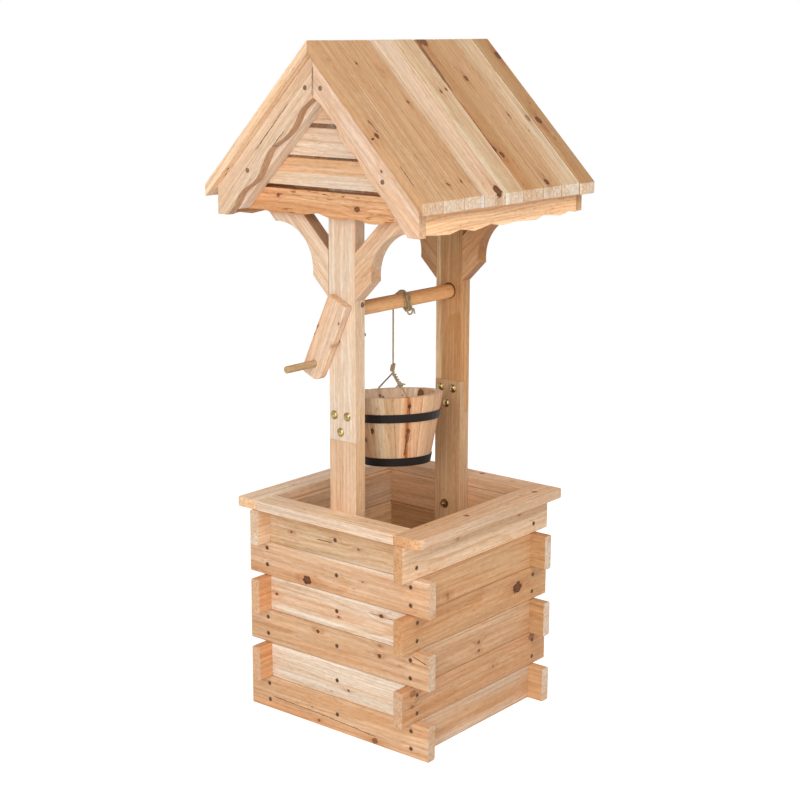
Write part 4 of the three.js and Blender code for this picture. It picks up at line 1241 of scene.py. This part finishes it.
class WELL_OT_roof(bpy.types.Operator):
    """Roof boards laid from ridge to eave on both slopes, and the ridge board."""
    bl_idname = "well.roof"
    bl_label = "Roof boards"

    def surface_point(self, x, y, side):
        return (side * x, side * y, RIDGE_HEIGHT - ROOF_PITCH * x)

    def board(self, low_y, high_y, eave, drop, side):
        builder = bmesh.new()
        rows = []
        for x, top in ((SEAM / 2, RIDGE_HEIGHT - drop), (eave, RIDGE_HEIGHT - ROOF_PITCH * eave)):
            foot = RIDGE_HEIGHT - ROOF_PLUMB - ROOF_PITCH * x
            rows.append([builder.verts.new((side * x, side * y, z)) for y, z in (
                (low_y, foot), (high_y, foot), (high_y, top), (low_y, top))])
        skin(builder, rows)
        return builder

    def execute(self, context):
        chance = random.Random(41)
        edges = (-ROOF_HALF_LENGTH, *ROOF_JOINTS, ROOF_HALF_LENGTH)
        last = len(edges) - 2
        half_gap = context.scene.well_timber.joint / MM / 2
        for hand, side in SIDES:
            for board, (near, far) in enumerate(zip(edges, edges[1:])):
                low_y = near + (half_gap if board else 0)
                high_y = far - (half_gap if board < last else 0)
                half = (high_y - low_y) / 2
                eave = ROOF_HALF_SPAN - (chance.uniform(0, 0.9) if board % 4 else 0)
                drop = chance.uniform(0.5, 1.4) if 0 < board < 4 else chance.uniform(0, 0.3)
                if side > 0:
                    spots, splits = ROOF_KNOTS[board], ROOF_CHECKS.get(board, ())
                    bands = ROOF_BANDS.get(board, ())
                else:
                    spots = [(chance.uniform(20, 220), low_y + chance.uniform(8, 44),
                              chance.uniform(1.6, 4.5), chance.uniform(0.6, 1))
                             for _ in range(chance.choice((1, 2, 3)))]
                    splits, bands = (), ()
                # Painted shade along a board's near edge at the joint, and a painted highlight along its far
                # edge
                if board:
                    bands = (*bands, (-40, 1.2 - half, 0.5, SHADED_EDGE))
                if board < last:
                    bands = (*bands, (half - 2.6, 40, 0.6, EDGE_HIGHLIGHT))
                name = f"roof_{hand}_{board + 1}"
                wood = cedar(
                    f"wood_{name}", Vector((side, 0, -ROOF_PITCH)), side * Y_AXIS,
                    self.surface_point(ROOF_MIDDLE, (low_y + high_y) / 2, side), tinted(name),
                    knots=[(self.surface_point(x, y, side), size, strength)
                           for x, y, size, strength in spots],
                    checks=[(self.surface_point(*a, side), self.surface_point(*b, side), wide)
                            for a, b, wide in splits],
                    bands=bands, contrast=0.7, fleck=0.5,
                    end_tone=end_share(name, like=f"roof_right_{board + 1}"))
                slab = self.board(low_y, high_y, eave, drop, side)
                piece = finished(f"roof_{hand}_board_{board + 1}", slab, wood, "well",
                                 replaced=(f"roof_{hand}",))
                ease_edges(piece, PLANED_EASE * MM)
        dressed("ridge_board", Y_AXIS, UP)
        return {"FINISHED"}


def under_roof(x):
    return UNDER_RIDGE - ROOF_PITCH * abs(x)


class WELL_OT_gables(bpy.types.Operator):
    """Slats, rafters, barge boards and scalloped fascias at both gable ends and under the eaves."""
    bl_idname = "well.gables"
    bl_label = "Gables"

    def execute(self, context):
        for end, facing in (("front", -1), ("back", 1)):
            for index, (low, high) in enumerate(SLAT_LEVELS):
                self.slat(end, facing, index, low, high)
            for hand, side in SIDES:
                self.rafter(end, facing, hand, side)
        self.barges()
        self.fascias()
        return {"FINISHED"}

    def framed(self, name, end, outline, low, high, wood):
        """A slat or rafter that takes the place of its end's gable frame."""
        piece = finished(name, prism(outline, low, high, upright), wood, "well",
                         replaced=(f"gable_frame_{end}",))
        ease_edges(piece, bpy.context.scene.well_timber.ease)

    def slat(self, end, facing, index, low, high):
        half_low = (SLAT_APEX - low) / ROOF_PITCH
        half_high = max((SLAT_APEX - high) / ROOF_PITCH, 0.5)
        outline = [(-half_low, low), (half_low, low), (half_high, high), (-half_high, high)]
        name = f"slat_{end}_{index + 1}"
        middle = (0, facing * (SLAT_FRONT + SLAT_BACK) / 2, (low + high) / 2)
        wood = cedar(f"wood_{name}", X_AXIS, UP, middle, tinted(name, like=f"slat_front_{index + 1}"),
                     bands=SLAT_BANDS.get(index, ()), fleck=0.5, contrast=0.6)
        self.framed(f"gable_{name}", end, outline, facing * SLAT_BACK, facing * (SLAT_FRONT - SEAM), wood)

    def rafter(self, end, facing, hand, side):
        inner = side * 0.2
        tail = side * RAFTER_TAIL
        low = under_roof(tail) - RAFTER_PLUMB + RAFTER_CUT
        outline = [(inner, UNDER_RIDGE - RAFTER_PLUMB), (tail - side * RAFTER_CUT / ROOF_PITCH, low),
                   (tail, low), (tail, under_roof(tail)), (inner, UNDER_RIDGE)]
        middle = (side * 100, facing * 196, under_roof(100) - RAFTER_PLUMB / 2)
        name = f"rafter_{end}_{hand}"
        wood = cedar(f"wood_{name}", Vector((side, 0, -ROOF_PITCH)), Y_AXIS, middle, tinted(name))
        self.framed(name, end, outline, facing * SLAT_FRONT, facing * RAFTER_FRONT, wood)

    def barges(self):
        def on_face(x, z):
            return (x, -BARGE_FACE, z)

        for end, facing in (("front", 1), ("back", -1)):
            for hand, side in SIDES:
                node = f"barge_{end}_{hand}"
                along = Vector((side * facing, 0, -ROOF_PITCH))
                knots = [(on_face(x, z), size, strength)
                         for x, z, size, strength in BARGE_KNOTS.get(node, ())]
                checks = [(on_face(*a), on_face(*b), width) for a, b, width in BARGE_CHECKS.get(node, ())]
                dressed(node, along, Y_AXIS.cross(along), knots=knots, checks=checks,
                        soft_edge=1.3, fleck=0.3)

    def fascias(self):
        for end, facing in (("front", -1), ("back", 1)):
            knots = [((x, facing * FASCIA_FACE, z), size, strength)
                     for x, z, size, strength in FASCIA_KNOTS[end]]
            dressed(f"gable_fascia_{end}", X_AXIS, UP, knots=knots, fleck=1.0, contrast=1.0, soft_edge=1.2)
        for hand, _ in SIDES:
            dressed(f"eave_fascia_{hand}", Y_AXIS, UP, fleck=0.5, contrast=1.0, soft_edge=1.2)


class WELL_OT_windlass(bpy.types.Operator):
    """Turned axle, crank arm and handle."""
    bl_idname = "well.windlass"
    bl_label = "Windlass"

    def execute(self, context):
        dressed("axle", Y_AXIS, UP, "dowel", fleck=0.2, contrast=0.25, heart=0.2)
        lean = math.radians(ARM_LEAN)
        along = -around(UP, X_AXIS, lean)
        across = around(X_AXIS, -UP, lean)
        hub = Vector((0, -ARM_FACE, AXLE_HEIGHT))
        dressed("crank_arm", along, across, fleck=0.3, soft_edge=0.6,
                bands=((-40, -12, 3, (1.0, 0.86, 0.76)),),
                knots=[(hub + along * u + across * v, size, strength) for u, v, size, strength in ARM_KNOTS])
        # A thin near-black ring on the post round the axle is painted shade in the bore's mouth
        mouth = bmesh.new()
        skin(mouth, [ring(mouth, Vector((shift, BORE_MOUTH_Y, AXLE_HEIGHT + shift)), X_AXIS, UP, radius, 40)
                     for radius, shift in BORE_SHADE_RINGS], capped=False)
        finished("axle_bore_mouth", mouth, hole_shade(), "well")
        dressed("crank_handle", Y_AXIS, UP, "dowel", fleck=0.3, contrast=0.5, heart=0.2)
        return {"FINISHED"}


def bucket_place():
    return (Matrix.Translation(Vector(BUCKET_PLACE)) @ Matrix.Rotation(math.radians(BUCKET_HEADING), 4, "Z")
            @ Matrix.Rotation(-math.radians(BUCKET_TILT), 4, "Y"))


def bucket_point(angle, height, radius):
    """A point of the bucket by its angle in radians about the bucket's axis."""
    return bucket_place() @ (around(X_AXIS, Y_AXIS, angle) * radius + UP * height)


def bucket_mark(turn, height, radius):
    return bucket_point(math.radians(turn), height, radius)


class WELL_OT_bucket(bpy.types.Operator):
    """Staves, bottom board and painted hoops of the bucket."""
    bl_idname = "well.bucket"
    bl_label = "Bucket"

    def execute(self, context):
        chance = random.Random(5)
        spin = bucket_place().to_3x3()
        for index in range(STAVES):
            builder, angle = self.stave(index, chance)
            along = spin @ (around(X_AXIS, Y_AXIS, angle) * BUCKET_FLARE + UP)
            across = spin @ around(Y_AXIS, -X_AXIS, angle)
            middle = bucket_point(angle, -BUCKET_HEIGHT / 2, 72)
            name = f"stave_{index + 1}"
            wood = cedar(
                f"wood_{name}", along, across, middle, tinted(name, "bucket_wood"), end_tone=end_share(name),
                knots=self.knots(index, middle, along.normalized(), across, chance),
                checks=[(bucket_mark(*first), bucket_mark(*last), width)
                        for first, last, width in STAVE_CRACKS.get(index, ())],
                bands=STAVE_BANDS.get(index, ()), fleck=0.4, contrast=0.6)
            piece = finished(f"bucket_stave_{index + 1}", builder, wood, "bucket",
                             replaced=("bucket_staves",))
            side = {0: 1, STAVES // 2: -1}.get(index)
            if side:
                centre = bucket_place() @ Vector((side * 60, 0, -BAIL_DROP))
                drill(piece, [spun(((3.4, 0), (3.4, 40)), centre, spin @ (side * X_AXIS), 16)])
        self.bottom(spin)
        paint = hoop_paint()
        for node in ("bucket_hoop_upper", "bucket_hoop_lower"):
            dress(node, paint)
        return {"FINISHED"}

    def stave(self, index, chance):
        """One stave, with eased outer edges, and the angle of its middle."""
        step = math.tau / STAVES
        start = math.radians(SEAM_TURN) + index * step
        top = -chance.uniform(0, 1.1)
        builder = bmesh.new()
        rows = []
        for row in range(STAVE_ROWS + 1):
            z = -BUCKET_HEIGHT + (BUCKET_HEIGHT + top) * row / STAVE_ROWS
            outer = BUCKET_FOOT + BUCKET_FLARE * (z + BUCKET_HEIGHT)
            gap = 0.14 / outer
            corners = [(outer - (1.0 if share in (0, 1) else 0.0), share) for share in STAVE_OUTER]
            corners += [(outer - STAVE_THICKNESS, share) for share in STAVE_INNER]
            rows.append([builder.verts.new(bucket_point(start + gap + (step - 2 * gap) * share, z, reach))
                         for reach, share in corners])
        skin(builder, rows)
        return builder, start + step / 2

    def knots(self, index, middle, along, across, chance):
        if index in STAVE_KNOTS:
            return [(bucket_mark(*place), size, strength) for *place, size, strength in STAVE_KNOTS[index]]
        return [(middle + along * chance.uniform(-45, 45) + across * chance.uniform(-14, 14),
                 chance.uniform(1.6, 3.2), chance.uniform(0.6, 1))
                for _ in range(chance.choice((0, 1, 1, 2)))]

    def bottom(self, spin):
        radius = BUCKET_FOOT - STAVE_THICKNESS + BUCKET_FLARE * 12
        low, high = BOTTOM_LEVELS
        ease = 0.6
        profile = ((radius - ease, low), (radius, low + ease), (radius, high - ease), (radius - ease, high))
        disc = spun(profile, BUCKET_PLACE, spin @ UP, 40)
        middle = bucket_point(0, (low + high) / 2, 0)
        wood = cedar("wood_bucket_bottom", spin @ X_AXIS, spin @ Y_AXIS, middle,
                     tinted("bucket_bottom", "bucket_wood"))
        finished("bucket_bottom", disc, wood, "bucket")


class WELL_OT_rope(bpy.types.Operator):
    """Jute rope: hitch on the axle, hanging line, knots and bail."""
    bl_idname = "well.rope"
    bl_label = "Rope"

    def execute(self, context):
        fibre = jute_fibre()
        self.hitch(fibre)
        self.line(fibre)
        self.knot(fibre)
        self.bail(fibre)
        return {"FINISHED"}

    def hitch(self, fibre):
        """Two turns crossing on the axle, a small knot under it and an open eye with a frayed end."""
        points = [(ROPE_X, ROPE_Y, AXLE_HEIGHT - 7), (ROPE_X, ROPE_Y, AXLE_HEIGHT - 3)]
        for turn, y, lift in HITCH_COURSE:
            reach = around(UP, X_AXIS, math.radians(turn)) * (COIL_RADIUS + lift)
            points.append(reach + Vector((0, y, AXLE_HEIGHT)))
        points += winding(20, 2.2, lambda share, angle: (
            9 + 3.6 * math.cos(angle), 3 + 7.5 * share, 732 + 3.6 * math.sin(angle)))
        centre = Vector((9.5, 10, 727))
        side = Vector((0.5, 0.866, 0))
        for step in range(13):
            angle = math.radians(135 + 390 * step / 12)
            points.append(centre + side * math.cos(angle) * 4.4 + UP * math.sin(angle) * (6.4 - step * 0.05)
                          + side.cross(UP) * step * 0.22)
        points += [(12.5, 16, 730), (13.5, 17.5, 726), (14, 18, 721)]
        builder = bmesh.new()
        laid_rope(builder, points, ROPE_RADIUS, 3, frayed=(0, 7))
        for y in (-0.5, 8.0):
            turns = winding(16, 1.1, lambda share, angle: (
                9.5 + 5.2 * math.cos(angle), y + 1.8 * math.sin(angle * 2), 732.5 + 4.6 * math.sin(angle)))
            laid_rope(builder, turns, ROPE_RADIUS * 0.9, 15)
        finished("rope_hitch", builder, fibre, "windlass", smooth=True, replaced=("rope_wrap",))

    def line(self, fibre):
        builder = bmesh.new()
        points = [(ROPE_X, ROPE_Y, LINE_TOP + (LINE_FOOT - LINE_TOP) * step / 8) for step in range(9)]
        laid_rope(builder, points, ROPE_RADIUS, 4)
        piece = finished("rope_hanging_line", builder, fibre, None, smooth=True,
                         replaced=("rope_line",))
        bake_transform(piece)

    def knot(self, fibre):
        def spot(share, angle):
            reach = 2.5 + 0.9 * math.sin(3 * angle)
            return (ROPE_X - 1.4 * share + reach * math.cos(angle),
                    ROPE_Y - 1.2 * share + reach * math.sin(angle),
                    KNOT_MIDDLE + 5.6 - 11.6 * share + 1.2 * math.sin(2 * angle))

        builder = bmesh.new()
        laid_rope(builder, winding(56, 3.6, spot), 1.75, 6, frayed=(3, 3))
        core = [(ROPE_X, ROPE_Y, KNOT_TOP - 1.7 * step) for step in range(9)]
        laid_rope(builder, core, ROPE_RADIUS, 7, hairs=0)
        finished("rope_upper_knot", builder, fibre, "knot", smooth=True, replaced=("rope_knot",))

    def bail(self, fibre):
        """Two legs from the upper knot to the holes, the right one wound by its own end down to a knot."""
        place = bucket_place()
        apex = place.inverted() @ Vector((ROPE_X, ROPE_Y, KNOT_TOP - KNOT_HEIGHT - SEAM - ROPE_RADIUS))
        outer = BUCKET_RIM - BUCKET_FLARE * BAIL_DROP
        inner = outer - STAVE_THICKNESS
        stand = ROPE_RADIUS + 0.9
        half = math.sqrt(0.5)
        mouth = Vector((inner - stand, 0, -BAIL_DROP + 2 * stand))
        brim = Vector((BUCKET_RIM - STAVE_THICKNESS - stand - 0.6, 0, 0.5))
        shoulder = Vector((-BUCKET_RIM + stand, 0, stand))
        lower = apex.lerp(brim, 0.52)
        route = [
            (-(inner + outer) / 2, 0, -BAIL_DROP), (-outer, 0, -BAIL_DROP),
            (-outer - 2 * stand, 0, -BAIL_DROP + stand), (-BUCKET_RIM - stand, 0, -stand),
            (-BUCKET_RIM - stand * half, 0, stand * half), shoulder, shoulder.lerp(apex, 0.5),
            shoulder.lerp(apex, 0.93), apex, apex.lerp(lower, 0.12), lower, apex.lerp(brim, 0.75),
            brim, mouth, (inner, 0, -BAIL_DROP), ((inner + outer) / 2, 0, -BAIL_DROP),
        ]
        builder = bmesh.new()
        laid_rope(builder, [place @ Vector(point) for point in route], ROPE_RADIUS * 0.94, 8)
        ahead = (lower - apex).normalized()
        side = ahead.orthogonal().normalized()
        other = ahead.cross(side)
        length = (lower - apex).length

        def on_leg(run, angle, reach):
            return place @ (apex + ahead * run + around(side, other, angle) * reach)

        for phase, seed in ((0, 9), (math.pi, 16)):
            second = winding(24, 2.3, lambda share, angle: on_leg(
                0.8 + (length - 1.5) * share, angle, 2.3), phase)
            laid_rope(builder, second, ROPE_RADIUS, seed)
        turns = winding(30, 2.2, lambda share, angle: on_leg(length - 3 + 8 * share, angle, 2.9))
        laid_rope(builder, turns, ROPE_RADIUS, 10)
        knot_place = place @ lower
        right = Vector(CAMERA_RIGHT)
        for reach, drop, seed in ((9.5, 0.6, 12), (-7.5, -4.5, 10)):
            bends = ((0, 0), (reach * 0.4, drop * 0.4 + 1), (reach * 0.75, drop * 0.8), (reach, drop))
            tail = [knot_place + right * aside + UP * rise for aside, rise in bends]
            laid_rope(builder, tail, 1.5, seed, frayed=(0, 5))
        finished("bail", builder, fibre, "bucket", smooth=True, replaced=("bail_rope",))


def screw_head(centre, axis, chance):
    """Flat head with a cross recess."""
    radius = bpy.context.scene.well_timber.screw_head / MM / 2
    builder = spun(((radius * 0.55, -1.2), (radius, -0.1), (radius * 0.96, 0.12), (radius * 0.5, 0.22)),
                   centre, axis, 16)
    side = Matrix.Rotation(chance.uniform(0, math.pi), 3, axis) @ axis.orthogonal().normalized()
    other = axis.cross(side)
    top = centre + axis * 0.26
    for long, short in ((side, other), (other, side)):
        corners = [top + long * a * radius * 0.62 + short * b * radius * 0.14
                   for a, b in ((-1, -1), (1, -1), (1, 1), (-1, 1))]
        builder.faces.new([builder.verts.new(corner) for corner in corners])
    return builder


def nut(centre, axis, radius):
    """Hexagon, washer and the bolt's end."""
    body = spun(((radius * 0.9, 1.0), (radius, 1.8), (radius, 5.2), (radius * 0.9, 6.0)), centre, axis, 6)
    washer = spun(((radius * 1.35, 0), (radius * 1.35, 0.9), (radius * 0.6, 1.0)), centre, axis, 24)
    rod = spun(((radius * 0.5, 0), (radius * 0.5, 8.0), (radius * 0.4, 8.8), (0, 8.9)), centre, axis, 16)
    return [body, washer, rod]


class WELL_OT_fastenings(bpy.types.Operator):
    """Wood screws, domed lap bolts, the nut and the bolt end on the posts."""
    bl_idname = "well.fastenings"
    bl_label = "Fastenings"

    def execute(self, context):
        self.screws()
        self.bolts(context.scene.well_timber.bolt_head / MM / 2)
        return {"FINISHED"}

    def screws(self):
        chance = random.Random(12)
        sink, steel, dull = countersink_wood(), screw_steel(), dull_steel()
        groups = (
            ("box_front", steel, -Y_AXIS, [(x, -BOX_FACE_Y, z) for x, z in FRONT_SCREWS]),
            ("box_back", steel, Y_AXIS, [(-x, BOX_FACE_Y, z) for x, z in FRONT_SCREWS]),
            ("box_right", steel, X_AXIS, [(BOX_FACE_X, y, z) for y, z in RIGHT_SCREWS]),
            ("box_left", steel, -X_AXIS, [(-BOX_FACE_X, -y, z) for y, z in RIGHT_SCREWS]),
            ("barge_front", dull, -Y_AXIS, [(x, -BARGE_FACE, z) for x, z in BARGE_SCREWS]),
            ("barge_back", dull, Y_AXIS, [(x, BARGE_FACE, z) for x, z in BARGE_SCREWS]),
        )
        for name, metal_used, axis, spots in groups:
            heads = [screw_head(Vector(spot) + axis * 0.1, axis, chance) for spot in spots]
            finished(f"{name}_screws", merged(heads), metal_used, "well")
            rings = [spun(((4.1, -0.4), (4.1, 0.1), (3.0, 0.16)), spot, axis, 16) for spot in spots]
            finished(f"{name}_countersinks", merged(rings), sink, "well")

    def bolts(self, radius):
        plated = plated_steel()
        dome = ((radius, 0), (radius * 0.97, 0.7), (radius * 0.86, 1.9), (radius * 0.6, 3.1),
                (radius * 0.3, 3.7), (0, 3.9))
        washer = ((radius * 1.12, -0.1), (radius * 1.12, 0.25), (radius * 0.9, 0.4))
        for name, y in (("front_lap_bolts", -POST_OUTER), ("back_lap_bolts", POST_INNER)):
            heads = [spun(profile, (x, y, z), -Y_AXIS, 24)
                     for x, z in LAP_BOLTS for profile in (dome, washer)]
            finished(name, merged(heads), plated, "well", smooth=True)
        for name, y in (("front_lap_nuts", -POST_INNER), ("back_lap_nuts", POST_OUTER)):
            nuts = [part for x, z in LAP_BOLTS for part in nut((x, y, z), Y_AXIS, 5.5)]
            finished(name, merged(nuts), plated, "well")
        finished("post_foot_nut", merged(nut(FOOT_NUT, -Y_AXIS, 6.4)), plated, "well")
        stub = spun(((3.2, 0), (3.2, 6.0), (2.6, 6.8), (0, 6.9)), POST_STUB, Y_AXIS, 16)
        finished("post_bolt_end", stub, plated, "well")


STEPS = (WELL_OT_stage, WELL_OT_box, WELL_OT_rim, WELL_OT_posts, WELL_OT_roof, WELL_OT_gables,
         WELL_OT_windlass, WELL_OT_bucket, WELL_OT_rope, WELL_OT_fastenings)


class WELL_PT_panel(bpy.types.Panel):
    """Steps that dress the planter."""
    bl_idname = "WELL_PT_panel"
    bl_label = "Wishing well planter"
    bl_space_type = "VIEW_3D"
    bl_region_type = "UI"
    bl_category = "Well"

    def draw(self, context):
        for step in STEPS:
            self.layout.operator(step.bl_idname)
        for group in ("well_finish", "well_timber", "well_stage"):
            settings = getattr(context.scene, group)
            box = self.layout.box()
            for name in settings.bl_rna.properties.keys():
                if name not in {"rna_type", "name"}:
                    box.prop(settings, name)


GROUPS = (("well_finish", WELL_finish), ("well_timber", WELL_timber), ("well_stage", WELL_stage_settings))
CLASSES = (*(group for _, group in GROUPS), *STEPS, WELL_PT_panel)


def register():
    for entry in CLASSES:
        bpy.utils.register_class(entry)
    for name, group in GROUPS:
        setattr(bpy.types.Scene, name, PointerProperty(type=group))


def unregister():
    for name, _ in GROUPS:
        delattr(bpy.types.Scene, name)
    for entry in reversed(CLASSES):
        bpy.utils.unregister_class(entry)


def main():
    register()
    for step in STEPS:
        space, name = step.bl_idname.split(".")
        getattr(getattr(bpy.ops, space), name)()
    bpy.context.view_layer.update()


if __name__ == "__main__":
    main()
